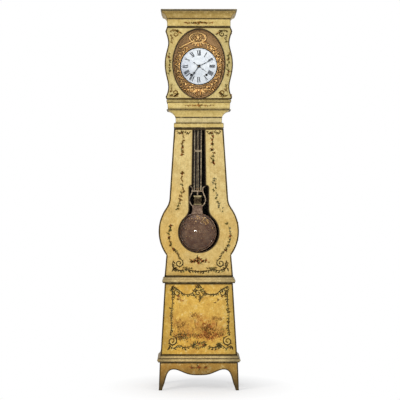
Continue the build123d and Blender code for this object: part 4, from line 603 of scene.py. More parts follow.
base = brushes(base_face)
edge_line(base, rim_loops("base_front")[0], 9)
for side, out in ((-1, -170), (1, 184)):
    rocaille(base, [(out, 654), (out - side * 26, 640), (out - side * 52, 622), (out - side * 74, 604),
                    (side * 56, 602)], 17, 7, side)
    scroll(base, out - side * 36, 612, 23, 90, 1.15, -side, 6.5)
    rocaille(base, [(out + side * 8, 640), (out - side * 12, 616), (out - side * 16, 586)], 13, 5, side)
    rocaille(base, [(side * 60, 604), (side * 40, 610), (side * 26, 634), (side * 2, 664)], 17, 7, side)
    rocaille(base, [(side * 44, 600), (side * 26, 592), (side * 14, 576)], 12, 5, -side)
    rocaille(base, [(out, 650), (out - side * 4, 560), (out + side * 6, 470), (out + side * 2, 400),
                    (out + side * 10, 344)], 14, 7, -side)
    base["ink"].leaf(out + side * 2, 500 - side * 14, 90 - side * 60, 18, 8)
    scroll(base, out - side * 2, 309, 32, 90, 1.5, side, 8)
    rocaille(base, [(out + side * 20, 284), (out - side * 12, 264), (out - side * 44, 284),
                    (out - side * 78, 268), (side * 56, 274)], 18, 7, side)
    base["ink"].leaf(out + side * 14, 280, -60 if side > 0 else -120, 32, 12)
    sprig(base, [(out - side * 28, 598), (out - side * 50, 570), (out - side * 80, 556)], 17,
          ("umber", "rose"), 0.15)
scroll(base, -4, 612, 21, 0, 1.3, 1, 7)
rocaille(base, [(10, 602), (3, 582), (5, 556)], 12, 5.5)
SPRAY_LEAVES = 22
SPRAY_FLOWERS = ((2, 290, 13, "rose"), (-28, 286, 10, "slate"), (30, 285, 10, "red"), (-52, 278, 7, "rose"))
for number in range(SPRAY_LEAVES):
    fan = number * 360 / SPRAY_LEAVES
    length = hand.uniform(14, 30)
    x = 2 + 32 * math.cos(math.radians(fan))
    z = 284 + 7 * math.sin(math.radians(fan))
    base[("ink", "moss", "umber")[number % 3]].leaf(x, z, fan, length, 8, 0.2)
for x, z, radius, kind in SPRAY_FLOWERS:
    flower(base, x, z, radius, 6, kind)
for number in range(9):
    base[("ink", "moss")[number % 2]].leaf(126, 284, number * 40, hand.uniform(16, 28), 8)
lay(base, "base frame", "case", "base_front")

# ---------------------------------------------------------------- base scene
# A sepia riverbank of bushes, grasses and two low spreading trees inside the frame of scrolls. It is laid in
# loose dabs of thin oil paint, the far bank first and the warm bushes over it.

scenery = brushes(base_face)
BANK_LEFT = -158
BANK_RIGHT = 166


def thicket(x, z, wide, high, count, kinds, size, upright):
    """A soft clump of small dabs."""
    for _ in range(count):
        cx = max(BANK_LEFT, min(BANK_RIGHT, x + wide / 2 * hand.gauss(0, 0.8)))
        cz = z + high / 2 * max(-1.8, min(1.8, hand.gauss(0, 0.8)))
        length = size * hand.uniform(0.5, 1.3)
        kind = hand.choice(kinds)
        scenery[kind].leaf(cx, cz, 90 + hand.uniform(-upright, upright), length, length * 0.4, 0.1)


def spreading_tree(x, ground, height, spread, kinds):
    """A short forked trunk under a broad flat crown."""
    for lean in (-1, 1):
        tip = (x + lean * spread * 0.3, ground + height * 0.85)
        fork = curve([(x, ground), (x + lean * 3, ground + height * 0.5), tip], 5)
        scenery["umber"].stroke(fork, (2.6, 1.8, 0.8))
    for lean, share in ((-0.5, 0.85), (0.5, 0.8), (0, 1.0)):
        thicket(x + lean * spread * 0.7, ground + height * share, spread * 0.6, height * 0.22, 34, kinds,
                8, 80)


for x, z, wide, high in ((-110, 410, 80, 40), (0, 380, 150, 30), (100, 360, 110, 40), (-90, 345, 90, 30)):
    thicket(x, z, wide, high, 60, ("wash",), 18, 80)
spreading_tree(-24, 400, 74, 60, ("umber", "wash", "rust"))
spreading_tree(112, 400, 56, 54, ("wash", "rose", "umber"))
thicket(-128, 395, 40, 50, 70, ("rose", "wash", "umber"), 10, 40)
thicket(-108, 334, 66, 40, 170, ("slate", "umber", "rust", "moss"), 11, 60)
thicket(50, 396, 60, 44, 150, ("rust", "umber", "rust"), 11, 70)
thicket(46, 378, 44, 22, 50, ("rust", "ink", "umber"), 10, 70)
thicket(66, 336, 90, 28, 190, ("rust", "rose", "rust"), 13, 75)
thicket(140, 360, 36, 44, 60, ("rose", "wash", "moss"), 10, 50)
thicket(-30, 342, 70, 22, 90, ("umber", "rust", "moss"), 9, 70)
lay(scenery, "base scene", "case", "base_front")

# ---------------------------------------------------------------- apron
# A pine board cut in curves runs down into two splayed feet, with a board like it at each side. Its oil
# paint is darker than that of the boards above, and darkens further towards the toes. A small spray of
# flowers is brushed at its middle.

coat(oil_paint("apron oil paint", "#b3873a", "#b08b3e", "#8f6828", edge="#2c220f", edge_width=7,
               toes="#2c2210"), "apron_front", "apron_sides")
APRON_Y = front("apron_front")
APRON_LEAN = 6
APRON_HEIGHT = head("apron_front")
apron = brushes(lambda x, z: APRON_Y + APRON_LEAN * z / APRON_HEIGHT)
edge_line(apron, rim_loops("apron_front")[0], 7)
for side in (-1, 1):
    sprig(apron, [(side * 14, 146), (side * 36, 141), (side * 66, 148)], 13, ("umber", "red"), 0.2)
    flower(apron, side * 45, 143, 9, 5)
flower(apron, 0, 147, 15, 6)
lay(apron, "apron spray", "case", "apron_front")

# ---------------------------------------------------------------- bare wood
# The backs of the painted boards, the back board, the floor and the seat board are bare pine, browned by age.
# The faces towards the pendulum and the movement are darkened nearly black as painted shade, so that the
# lights look dark.


def bare_pine(name, light, dark):
    """Old unpainted pine with its grain up the board, drawn coarser than real grain so that it shows."""
    material, tree, shader = new_material(name, Roughness=0.75)
    where = add(tree, "TexCoord", out="Object")
    drawn = add(tree, "Mapping", {"Vector": where, "Scale": (1, 1, 0.06)})
    grain = add(tree, "TexNoise", {"Vector": drawn, "Scale": 1000 / 7, "Detail": 6, "Roughness": 0.65})
    dark_share = add(tree, "MapRange", {0: grain, 1: 0.35, 2: 0.65})
    tree.links.new(add(tree, "Mix", {0: dark_share, 6: light, 7: dark}, **RGBA), shader.inputs["Base Color"])
    bump = add(tree, "Bump", {"Height": grain, "Strength": 0.4, "Distance": 0.4 * MM})
    tree.links.new(bump, shader.inputs["Normal"])
    return material


def refinish(name, material, chosen):
    """Gives a second material to the faces of a CAD node that pass a test of centre and normal."""
    mesh = NODES[name].data
    mesh.materials.append(material)
    for face in mesh.polygons:
        if chosen(face.center / MM, face.normal):
            face.material_index = len(mesh.materials) - 1


PINE = bare_pine("aged pine", "#4a3018", "#2c1b0d")
# Pine darkened nearly black: painted shade for the inside of the case.
SHADED_INNER_PINE = bare_pine("pine darkened as painted shade", "#1d130a", "#0f0904")
coat(PINE, "back_board", "base_floor", "seat_board")
# Faces turned to the middle of the case get painted shade; those turned back are bare, but for rear edges.
REAR_EDGE_Y = 120
for name in ("trunk_side_left", "trunk_side_right", "hood_side_left", "hood_side_right", "base_sides",
             "hood_rail", "neck_band", "cove_moulding", "collar_moulding", "waist_moulding", "hood_frieze"):
    refinish(name, SHADED_INNER_PINE, lambda centre, normal: normal.x * centre.x < -20 and abs(normal.x) > 0.3)
    refinish(name, PINE, lambda centre, normal: normal.y > 0.5 and centre.y < REAR_EDGE_Y)
refinish("back_board", SHADED_INNER_PINE, lambda centre, normal: normal.y < -0.5)
for name in ("trunk_door", "hood_door", "base_front"):
    refinish(name, PINE, lambda centre, normal: normal.y > 0.5)

# ---------------------------------------------------------------- windows
# Both lights hold a pane of old sheet glass behind a raised bead. The beads and the sawn edges round the
# lights are painted dark brown. The glass shows what is behind it, with a soft reflection only where it is
# seen at a slant.


def old_glass():
    """Clear sheet glass: light passes straight through it and it keeps only a soft reflection."""
    material, tree, shader = new_material("window glass")
    tree.nodes.remove(shader)
    clear = add(tree, "BsdfTransparent", {"Color": (0.985, 0.99, 0.985, 1)})
    shine = add(tree, "BsdfGlossy", {"Color": (1, 1, 1, 1), "Roughness": 0.03})
    facing = add(tree, "Fresnel", {"IOR": 1.45})
    slant = add(tree, "MapRange", {0: facing, 1: 0.038, 4: 0.6})
    seen = add(tree, "LightPath", out="Is Camera Ray")
    share = add(tree, "Math", {0: slant, 1: seen}, operation="MULTIPLY")
    mixed = add(tree, "MixShader", {0: share, 1: clear, 2: shine})
    tree.links.new(mixed, tree.nodes["Material Output"].inputs["Surface"])
    return material


def middle_z(name):
    """The height of a CAD node's middle, in whole millimetres."""
    return round((foot(name) + head(name)) / 2)


BEAD_PAINT = flat_paint("dark brown bead paint", "#2a1f10", "#43341e", 0.4, 12)
KEYHOLE_Z = 1150
LIGHT_REACH = 170
OVAL_Z = middle_z("hood_glass")
coat(BEAD_PAINT, "trunk_glass_bead", "hood_glass_bead")
coat(old_glass(), "trunk_glass", "hood_glass")
for name, middle in (("trunk_door", KEYHOLE_Z), ("hood_door", OVAL_Z)):
    refinish(name, BEAD_PAINT, lambda centre, normal: abs(normal.y) < 0.5
             and normal.x * centre.x + normal.z * (centre.z - middle) < 0 and abs(centre.x) < LIGHT_REACH)

# ---------------------------------------------------------------- hinges and movement
# The hinges are brass leaves. The movement is a cage of forged iron bars with cut brass wheels and barrels,
# filed steel levers and a bronze bell. The brass has browned, with darker hollows of patina and painted
# shade, and the steel has a dull filed shine.


def old_brass(name, bright, dull, dark, roughness, feature=14, relief=None, bands=(), metallic=1.0,
              worn=(0.4, 0.6), polish=0.0):
    """Brass rubbed bright on its tops, browned over the sheet, with patina and painted shade in its hollows.
    """
    material, tree, shader = new_material(name, Metallic=metallic, Coat_Weight=polish, Coat_Roughness=0.04)
    where = add(tree, "TexCoord", out="Object")
    browned = blotches(tree, where, feature, 5, 0.65, *worn)
    colour = add(tree, "Mix", {0: browned, 6: bright, 7: dull}, **RGBA)
    rough = blotches(tree, where, feature, 5, 0.65, 0.3, 0.7, roughness - 0.08, roughness + 0.14)
    if bands:
        colour = add(tree, "Mix", {0: dark_lines(tree, where, bands), 6: colour, 7: "#b5a37a"}, **RGBA)
    if relief:
        low, high, hollow, top = relief
        depth = add(tree, "SeparateXYZ", {"Vector": where}, out="Y")
        fallen = add(tree, "MapRange", {0: depth, 1: low * MM, 2: high * MM})
        colour = add(tree, "Mix", {0: fallen, 6: top, 7: colour}, **RGBA)
        ground = {0: depth, 1: high * MM, 2: (high + 1.6) * MM}
        sunk = add(tree, "MapRange", {**ground, 4: 0.95})
        colour = add(tree, "Mix", {0: sunk, 6: colour, 7: hollow}, **RGBA)
        matt = add(tree, "MapRange", {**ground, 4: 0.2})
        rough = add(tree, "Math", {0: rough, 1: matt}, operation="ADD")
    # Patina and painted shade darken the crevices.
    pit_patina_and_shade = add(tree, "AmbientOcclusion", {"Distance": 0.01}, out="AO", samples=8, only_local=True)
    pit_patina_and_shade = add(tree, "MapRange", {0: pit_patina_and_shade, 1: 0.35, 2: 0.85, 3: 1, 4: 0})
    tree.links.new(add(tree, "Mix", {0: pit_patina_and_shade, 6: colour, 7: dark}, **RGBA), shader.inputs["Base Color"])
    tree.links.new(rough, shader.inputs["Roughness"])
    grain = add(tree, "TexNoise", {"Vector": where, "Scale": 1000 / 4, "Detail": 3, "Roughness": 0.6})
    bump = add(tree, "Bump", {"Height": grain, "Strength": 0.08, "Distance": 0.3 * MM})
    tree.links.new(bump, shader.inputs["Normal"])
    return material


def steel(name, code, roughness):
    """Forged or filed steel, duller in patches of 8 mm."""
    material, tree, shader = new_material(name, Metallic=1.0, Base_Color=linear(code))
    where = add(tree, "TexCoord", out="Object")
    rough = blotches(tree, where, 8, 4, 0.55, 0.3, 0.7, roughness - 0.08, roughness + 0.1)
    tree.links.new(rough, shader.inputs["Roughness"])
    return material


coat(old_brass("aged hinge brass", "#8f7038", "#6b5025", "#2e2210", 0.45),
     "hinge_plates", "trunk_hinge_leaves", "hood_hinge_leaves")
coat(old_brass("cut brass", "#c9a04e", "#a27a35", "#4a3414", 0.3, 20),
     "going_great_wheel", "centre_wheel", "third_wheel", "escape_wheel", "minute_wheel", "hour_wheel",
     "strike_great_wheel", "pin_wheel", "going_barrel", "strike_barrel", "rating_nut")
coat(old_brass("bell bronze", "#9a7a40", "#6e5428", "#33260f", 0.4, 30), "bell")
coat(steel("forged iron", "#3d3a37", 0.5), "movement_cage", "bearing_bars")
coat(steel("filed steel", "#8b8b8c", 0.35), "anchor", "hammer", "strike_fly", "pendulum_suspension")

# The squares of the barrels, before this depth in millimetres, are black in the winding holes.
SQUARES_Y = -45
CAST = flat_paint("black cast iron", "#24221f", "#34312d", 0.6, 18)
for name in ("going_barrel", "strike_barrel"):
    refinish(name, CAST, lambda centre, normal: centre.y < SQUARES_Y)

# ---------------------------------------------------------------- dial and hands
# The dial is a domed copper disc under white enamel, smooth and glossy, with painted shade greying it a
# little at its left. The Roman numerals and the ring of minute dots are fired on in slate colour, and blued
# rings line the winding holes. The hands are blued.

material, tree, shader = new_material("white enamel", Roughness=0.12, Coat_Weight=0.4)
where = add(tree, "TexCoord", out="Object")
smear = blotches(tree, where, 60, 3, 0.55, 0.35, 0.7)
glaze = add(tree, "Mix", {0: smear, 6: "#dee3ea", 7: "#c6cdd8"}, **RGBA)
# Painted shade: the enamel turns grey towards its left rim.
left = add(tree, "SeparateXYZ", {"Vector": where}, out="X")
left = add(tree, "MapRange", {0: left, 1: -0.02, 2: -0.115, 4: 0.55})
tree.links.new(add(tree, "Mix", {0: left, 6: glaze, 7: "#949ab2"}, **RGBA), shader.inputs["Base Color"])
coat(material, "dial")
BLUED = flat_paint("blued steel", "#23262c", "#33373e", 0.35, 15)
coat(BLUED, "minute_hand", "hour_hand", "alarm_hand")

CENTRE_Z = middle_z("dial")
DIAL_RADIUS = 118
DIAL_EDGE_Y = -92
DIAL_RISE = 4
HOLE_X = 48
HOLE_Z = CENTRE_Z - 54
NUMERAL_FOOT = 68
NUMERAL_HEAD = 101
MINUTE_RADIUS = 107.5
THICK = 5
THIN = 1.6
SERIF = 1.3
LETTER_WIDTH = {"I": 6.2, "V": 14, "X": 13}
HOURS = ("XII", "I", "II", "III", "IIII", "V", "VI", "VII", "VIII", "IX", "X", "XI")


def dial_face(x, z):
    """The depth of the dial, which is domed towards the front."""
    return DIAL_EDGE_Y - DIAL_RISE * (1 - (x**2 + (z - CENTRE_Z) ** 2) / DIAL_RADIUS**2)


def clock_point(angle, radius, side=0.0):
    """A point on the dial by its clock angle in degrees, its radius and a shift clockwise."""
    turn = math.radians(90 - angle)
    return (radius * math.cos(turn) + side * math.sin(turn),
            CENTRE_Z + radius * math.sin(turn) - side * math.cos(turn))


numerals = Brush(dial_face, 0.25)


def bar(angle, start, end, width):
    """One straight stroke between two (radius, side) points."""
    line = [clock_point(angle, start[0] + (end[0] - start[0]) * t / 4, start[1] + (end[1] - start[1]) * t / 4)
            for t in range(5)]
    numerals.stroke(line, (width, width))


for hour, text in enumerate(HOURS):
    angle = hour * 30
    half = sum(LETTER_WIDTH[letter] for letter in text) / 2
    at = -half
    for letter in text:
        middle = at + LETTER_WIDTH[letter] / 2
        if letter == "I":
            bar(angle, (NUMERAL_FOOT, middle), (NUMERAL_HEAD, middle), THICK - 0.1)
        elif letter == "V":
            bar(angle, (NUMERAL_HEAD, middle - 4.8), (NUMERAL_FOOT, middle), THICK)
            bar(angle, (NUMERAL_HEAD, middle + 4.8), (NUMERAL_FOOT, middle), THIN)
        else:
            bar(angle, (NUMERAL_HEAD, middle - 4.6), (NUMERAL_FOOT, middle + 4.6), THICK)
            bar(angle, (NUMERAL_HEAD, middle + 4.6), (NUMERAL_FOOT, middle - 4.6), THIN)
        at += LETTER_WIDTH[letter]
    for edge in (NUMERAL_FOOT, NUMERAL_HEAD):
        bar(angle, (edge, -half), (edge, half), SERIF)
for minute in range(60):
    x, z = clock_point(minute * 6, MINUTE_RADIUS)
    numerals.dot(x, z, 1.6 if minute % 5 == 0 else 0.9)
PRINT = flat_paint("slate numeral enamel", "#14171d", "#2a303a", 0.3, 6)
numerals.make("numerals", PRINT, "case", "dial")


def ring(name, x, z, inner, outer, front, back, material, node_slot, steps=32):
    """A turned ring round a point of the front view."""
    verts, faces = [], []
    middle = (inner + outer) / 2
    section = ((inner, back), (inner, front + 0.5), (middle, front), (outer, front + 0.5), (outer, back))
    for step in range(steps):
        angle = step / steps * 2 * math.pi
        verts += [(x + r * math.cos(angle), y, z + r * math.sin(angle)) for r, y in section]
        for k in range(5):
            after = (k + 1) % 5
            onward = (step + 1) % steps * 5
            faces.append((step * 5 + k, step * 5 + after, onward + after, onward + k))
    return solid(name, verts, faces, material, "case", smooth=True)


hole_y = dial_face(HOLE_X, HOLE_Z)
for side, label in ((-1, "left"), (1, "right")):
    ring("winding grommet " + label, side * HOLE_X, HOLE_Z, 5.9, 8, hole_y - 0.9, hole_y + 1, BLUED, "dial")

# ---------------------------------------------------------------- dial surround
# Thin brass sheet, pressed over a die into rims, leaves, flowers, fruit and rods, with a punched ground.
# Its tops are rubbed bright, and its hollows are nearly black with patina and painted shade. It fills the
# oval light, and a dark ring of painted shade, for the gap and its shadow, lies between it and the dial.


class Pressing:
    """A height map in millimetres about a centre, and the closed sheet that is made from it."""

    def __init__(self, half_x, half_z, step, seed):
        xs = np.arange(-half_x, half_x + 0.01, step)
        zs = np.arange(-half_z, half_z + 0.01, step)
        self.x, self.z = np.meshgrid(xs, zs)
        self.height = np.zeros_like(self.x)
        self.chance = np.random.default_rng(seed)

    def raise_to(self, height):
        """Keeps the taller of the sheet and a new form."""
        np.maximum(self.height, height, out=self.height)

    def local(self, x, z, angle):
        """Grid coordinates along and across a direction from a point."""
        turn = math.radians(angle)
        dx, dz = self.x - x, self.z - z
        return dx * math.cos(turn) + dz * math.sin(turn), -dx * math.sin(turn) + dz * math.cos(turn)

    def leaf(self, x, z, angle, length, width, height):
        """A lobed leaf with a vein, raised along its middle."""
        u, v = self.local(x, z, angle)
        t = np.clip(u / length, 0, 1)
        half = width / 2 * np.sin(np.pi * t**0.75) * (1 + 0.18 * np.cos(u * 19 / length)) + 1e-6
        inside = np.clip(1 - (v / half) ** 2, 0, 1) * ((u > 0) & (u < length))
        vein = 1 - 0.3 * np.exp(-((v / 1.1) ** 2))
        ribs = 1 + 0.06 * np.cos((u - 1.6 * np.abs(v)) * 1.6)
        self.raise_to(height * np.sqrt(inside) * vein * ribs)

    def flower(self, x, z, radius, petals, height):
        """Rounded petals about a domed eye."""
        u, v = self.local(x, z, self.chance.uniform(0, 360))
        r = np.hypot(u, v)
        ripple = np.abs(np.cos(np.arctan2(v, u) * petals / 2))
        edge = radius * (0.78 + 0.22 * ripple)
        cup = 0.45 + 0.55 * np.sin(np.pi * np.clip(r / edge, 0, 1) ** 0.8)
        dish = np.clip(1 - (r / edge) ** 4, 0, 1) * cup
        self.raise_to(height * dish * (0.75 + 0.25 * ripple))
        self.berry(x, z, radius * 0.3, height * 1.05)

    def berry(self, x, z, radius, height):
        """A round fruit."""
        r = np.hypot(self.x - x, self.z - z)
        self.raise_to(height * np.sqrt(np.clip(1 - (r / radius) ** 2, 0, 1)))

    def ring(self, x, z, a, b, width, height, twist=0):
        """An oval rope or a plain rim."""
        u, v = (self.x - x) / a, (self.z - z) / b
        distance = (np.hypot(u, v) - 1) * (a + b) / 2
        rope = 1 - 0.25 * (0.5 + 0.5 * np.cos(np.arctan2(v, u) * twist + distance * 1.2)) if twist else 1
        self.raise_to(height * np.sqrt(np.clip(1 - (distance / (width / 2)) ** 2, 0, 1)) * rope)

    def staff(self, x0, z0, x1, z1, width, height):
        """A straight ribbed rod."""
        length = math.hypot(x1 - x0, z1 - z0)
        u, v = self.local(x0, z0, math.degrees(math.atan2(z1 - z0, x1 - x0)))
        past = np.clip(np.abs(u - length / 2) - length / 2, 0, None)
        d = np.hypot(v, past)
        ribs = 0.85 + 0.15 * np.cos(u * 1.1)
        self.raise_to(height * np.sqrt(np.clip(1 - (d / (width / 2)) ** 2, 0, 1)) * ribs)

    def stipple(self, low=0.4):
        """Punched grain on the flat ground between the forms."""
        grain = np.sin(self.x * 1.4) * np.sin(self.z * 1.4)
        self.height += np.where(self.height < low, 0.1 + 0.03 * grain, 0)

    def sheet(self, name, kept, front, back, material, body):
        """A closed sheet over the kept cells, from the pressed front to a plain back."""
        index = -np.ones(self.x.shape, int)
        index[kept] = np.arange(kept.sum())
        count = int(kept.sum())
        fx, fz, fy, by = self.x[kept], self.z[kept], (front - self.height)[kept], back[kept]
        verts = list(zip(fx, fy, fz)) + list(zip(fx, by, fz))
        cell = kept[:-1, :-1] & kept[1:, :-1] & kept[:-1, 1:] & kept[1:, 1:]
        quads = [(int(index[r, c]), int(index[r, c + 1]), int(index[r + 1, c + 1]), int(index[r + 1, c]))
                 for r, c in np.argwhere(cell)]
        rim = {}
        for quad in quads:
            for a, b in zip(quad, quad[1:] + quad[:1]):
                if (b, a) in rim:
                    del rim[(b, a)]
                else:
                    rim[(a, b)] = True
        faces = quads + [tuple(v + count for v in reversed(quad)) for quad in quads]
        faces += [(b, a, a + count, b + count) for a, b in rim]
        return solid(name, verts, faces, material, body, smooth=True)


SHEET_Y = -94
SURROUND_BRASS = old_brass("pressed brass", "#d39a52", "#6a3f1c", "#180c05", 0.36, 13,
                           (SHEET_Y - 8.5, SHEET_Y - 3.5, "#94744f", "#ffd894"), metallic=0.7)
HALF_WIDE = 166
HALF_HIGH = 220
HOLE_RADIUS = 114.5
FLATTENED_RIM = 0.02
GRID = 1.1

# In coordinates from the dial's centre: a wreath over a crossed staff and leaves, garlands down both sides,
# and a spray of long leaves and fruit under the dial.
brass = Pressing(168, 234, GRID, 3)
drop = OVAL_Z - CENTRE_Z
brass.ring(0, drop, 160, 214, 5, 2.6, 90)
brass.ring(0, 0, 121.5, 121.5, 5, 5.4)
brass.ring(-6, 180, 51, 30, 11, 7.6, 22)
brass.ring(-22, 181, 22, 17, 6, 6.6)
brass.ring(22, 180, 14, 17, 5, 6)
for number in range(9):
    turn = math.radians(number * 40 + 10)
    brass.leaf(-6 + 14 * math.cos(turn), 181 + 8 * math.sin(turn), math.degrees(turn), 19, 9, 6.4)
brass.flower(-6, 181, 12, 6, 7.5)
brass.flower(24, 166, 9, 5, 7.6)
brass.staff(-30, 162, -120, 118, 12, 8.8)
brass.staff(-114, 112, -124, 126, 6, 6.5)
brass.staff(22, 158, 112, 114, 6, 4.6)
for number in range(7):
    fan = -90 + (number - 3) * 27
    brass.leaf(-4 + (number - 3) * 8, 154, fan, 36, 12, 4.5 + number % 3 * 1.3)
    brass.berry(-2 + (number - 3) * 12, 146 - abs(number - 3), 5, 7)
for number in range(6):
    brass.leaf(40 + number * 13, 143 - number * 6, -18 - 62 * (number % 2), 32, 11, 7 - number % 3)
    brass.leaf(-58 - number * 12, 112 - number * 8, 205 + 50 * (number % 2), 22, 8, 4.0)
for side in (-1, 1):
    for number in range(19):
        clock = 33 + number * 6.9
        turn = math.radians(90 - side * clock)
        reach = 137 + 5 * math.sin(number * 2.3) + 8 * (number / 18) ** 2 + brass.chance.uniform(-3, 3)
        x, z = reach * math.cos(turn), reach * math.sin(turn)
        along = math.degrees(turn) - side * 90
        if number % 2 == 0:
            brass.flower(x, z, brass.chance.uniform(8, 11.5), 5 + number % 3, 8)
        else:
            for berry in range(3):
                spot = berry * 2.1 + number
                brass.berry(x + 5 * math.cos(spot), z + 5 * math.sin(spot), 4.4, 7.4)
        for bend in (52, -52):
            brass.leaf(x, z, along + bend + brass.chance.uniform(-14, 14), brass.chance.uniform(20, 27), 9,
                       brass.chance.uniform(3.5, 6.5))
    for number in range(6):
        fan = -90 + side * (10 + number * 15)
        brass.leaf(side * (6 + number * 5), -138 - number, fan, 56 - number * 4, 12, 4 + number % 3 * 1.4)
        fan = -90 + side * (40 + 22 * (number % 3))
        brass.leaf(side * (62 + number * 7), -156 + number * 6, fan, 27, 9, 5.2)
    for number in range(4):
        brass.berry(side * (12 + number * 13), -133 - 5 * math.sin(number * 2.1), 5.2, 7)
    brass.flower(side * 27, -160, 10, 6, 7)
    brass.flower(side * 66, -148, 9, 5, 7)
brass.flower(0, -150, 12, 7, 6.8)
for number in range(7):
    brass.berry(-18 + number * 6, -186 + 4 * (number % 2), 4, 5.6)
brass.stipple()
from_rim = 1 - np.hypot(brass.x / HALF_WIDE, (brass.z - drop) / HALF_HIGH)
brass.height *= np.clip(from_rim / FLATTENED_RIM, 0, 1)
kept = (from_rim >= 0) & (np.hypot(brass.x, brass.z) >= HOLE_RADIUS)
brass.z += CENTRE_Z
sheet_front = np.full_like(brass.x, SHEET_Y)
surround = brass.sheet("pressed brass surround", kept, sheet_front, sheet_front + 1.4, SURROUND_BRASS, "case")
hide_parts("dial_surround")
# A black ring over the dial's edge: painted shade for the gap between the dial and the brass.
ring("dark gap round the dial", 0, CENTRE_Z, 113.4, 119, SHEET_Y - 1, SHEET_Y + 0.2, CAST, "dial_surround")

# ---------------------------------------------------------------- pendulum
# Beaded and fluted brass rods, a bridge, a cast lyre with a banded drum, and a domed bob under a thin
# pressed cover with a turned rim and sprays of flowers. The brass is browned, and worn gilding is left on
# the high places.

# The pivot, the lean at rest, the bob's middle, its radius, its foremost depth and the radius of its dome
PIVOT_Z = 2140
SWING = math.radians(0.5)
BOB = (-10.0, 993.04)
BOB_RADIUS = 122
BOB_Y = front("pendulum_bob")
DOME = 617.1
# Below the first of these heights is the neck block, and the drum lies between the other two.
NECK_Z = 1160
DRUM_FOOT = 1163
DRUM_HEAD = 1228
DRUM_X = -8
DRUM_HALF_WIDE = 31


def beaded_brass(name, bright, dull, dark):
    """Dark old brass rods with painted highlights on flutes, bead rows and bridge, along the pendulum's lean.
    """
    material, tree, shader = new_material(name, Metallic=0.45, Roughness=0.45)
    where = add(tree, "TexCoord", out="Object")
    x = add(tree, "SeparateXYZ", {"Vector": where}, out="X")
    z = add(tree, "SeparateXYZ", {"Vector": where}, out="Z")
    lean = add(tree, "Math", {0: z, 1: PIVOT_Z * MM}, operation="SUBTRACT")
    lean = add(tree, "Math", {0: lean, 1: -math.sin(SWING), 2: x}, operation="MULTIPLY_ADD")
    across = add(tree, "Math", {0: lean}, operation="ABSOLUTE")
    # Painted highlights on the inner rods, the bead rows of the outer rods and the bridge; the rest is dark.
    inner = add(tree, "Math", {0: across, 1: 4.3 * MM, 2: 1.7 * MM}, operation="COMPARE")
    outer = add(tree, "Math", {0: across, 1: 21.0 * MM, 2: 3.2 * MM}, operation="COMPARE")
    wave = add(tree, "Math", {0: z, 1: 2 * math.pi / (9.4 * MM)}, operation="MULTIPLY")
    wave = add(tree, "Math", {0: wave}, operation="SINE")
    wave = add(tree, "MapRange", {0: wave, 1: -0.3, 2: 0.5, 3: 0.35})
    beads = add(tree, "Math", {0: outer, 1: wave}, operation="MULTIPLY")
    painted_highlight = add(tree, "Math", {0: inner, 1: beads}, operation="MAXIMUM")
    bridge_highlight = dark_lines(tree, where, ((1508, 12, 0.8),))
    painted_highlight = add(tree, "Math", {0: painted_highlight, 1: bridge_highlight}, operation="MAXIMUM")
    patina = blotches(tree, where, 16, 4, 0.65, 0.36, 0.66)
    colour = add(tree, "Mix", {0: patina, 6: bright, 7: dull}, **RGBA)
    tree.links.new(add(tree, "Mix", {0: painted_highlight, 6: dark, 7: colour}, **RGBA), shader.inputs["Base Color"])
    return material


BOB_BRASS = old_brass("browned bob brass", "#6e5643", "#4b3026", "#1a110c", 0.42, 38,
                      worn=(0.3, 0.7), polish=0.4)
NECK_BRASS = old_brass("browned neck brass", "#8a7260", "#5a4538", "#1a110c", 0.45, 20, metallic=0.7)
DRUM_BRASS = old_brass("blackened drum brass", "#574835", "#1c1610", "#0c0a07", 0.4, 9,
                       bands=((1221, 8, 0.7), (1211, 3, 0.4), (1170, 6, 0.5)))
coat(beaded_brass("beaded rod brass", "#c4b08e", "#75604a", "#120c08"), "pendulum_bars")
coat(old_brass("browned lyre brass", "#b59f82", "#6b5646", "#15100c", 0.45, metallic=0.5), "pendulum_lyre")
coat(BOB_BRASS, "pendulum_bob")
refinish("pendulum_lyre", NECK_BRASS, lambda centre, normal: centre.z < NECK_Z)
refinish("pendulum_lyre", DRUM_BRASS,
         lambda centre, normal: DRUM_FOOT < centre.z < DRUM_HEAD and abs(centre.x - DRUM_X) < DRUM_HALF_WIDE)

COVER_EDGE = BOB_RADIUS - 7
COVER_GRID = 1.0
cover = Pressing(BOB_RADIUS - 6, BOB_RADIUS - 6, COVER_GRID, 9)
cover.ring(0, 0, COVER_EDGE - 4, COVER_EDGE - 4, 5, 1.8)
for number in range(26):
    turn = math.radians(75 + cover.chance.normal(0, 32))
    out = cover.chance.uniform(62, 98)
    x, z = out * math.cos(turn), out * math.sin(turn)
    cover.leaf(x, z, cover.chance.uniform(0, 360), 18, 7, 2.2)
    if number % 4 == 0:
        cover.flower(x, z, 8, 5, 2.6)
from_centre = np.hypot(cover.x, cover.z)
cover.height *= np.clip((COVER_EDGE - from_centre) / 3, 0, 1)
dome = BOB_Y + DOME - np.sqrt(DOME**2 - from_centre**2)
cover.x, cover.z = cover.x + BOB[0], cover.z + BOB[1]
cover.sheet("pressed bob cover", from_centre <= COVER_EDGE, dome - 0.35, dome + 0.3, BOB_BRASS, "pendulum")


def bob_face(x, z):
    """The depth of the domed bob."""
    return BOB_Y + DOME - math.sqrt(DOME**2 - (x - BOB[0]) ** 2 - (z - BOB[1]) ** 2)


def leaning(x, z):
    """A point of the pendulum, drawn hanging straight, where it stands in its swing."""
    return (x * math.cos(SWING) + (z - PIVOT_Z) * math.sin(SWING), PIVOT_Z + (z - PIVOT_Z) * math.cos(SWING))


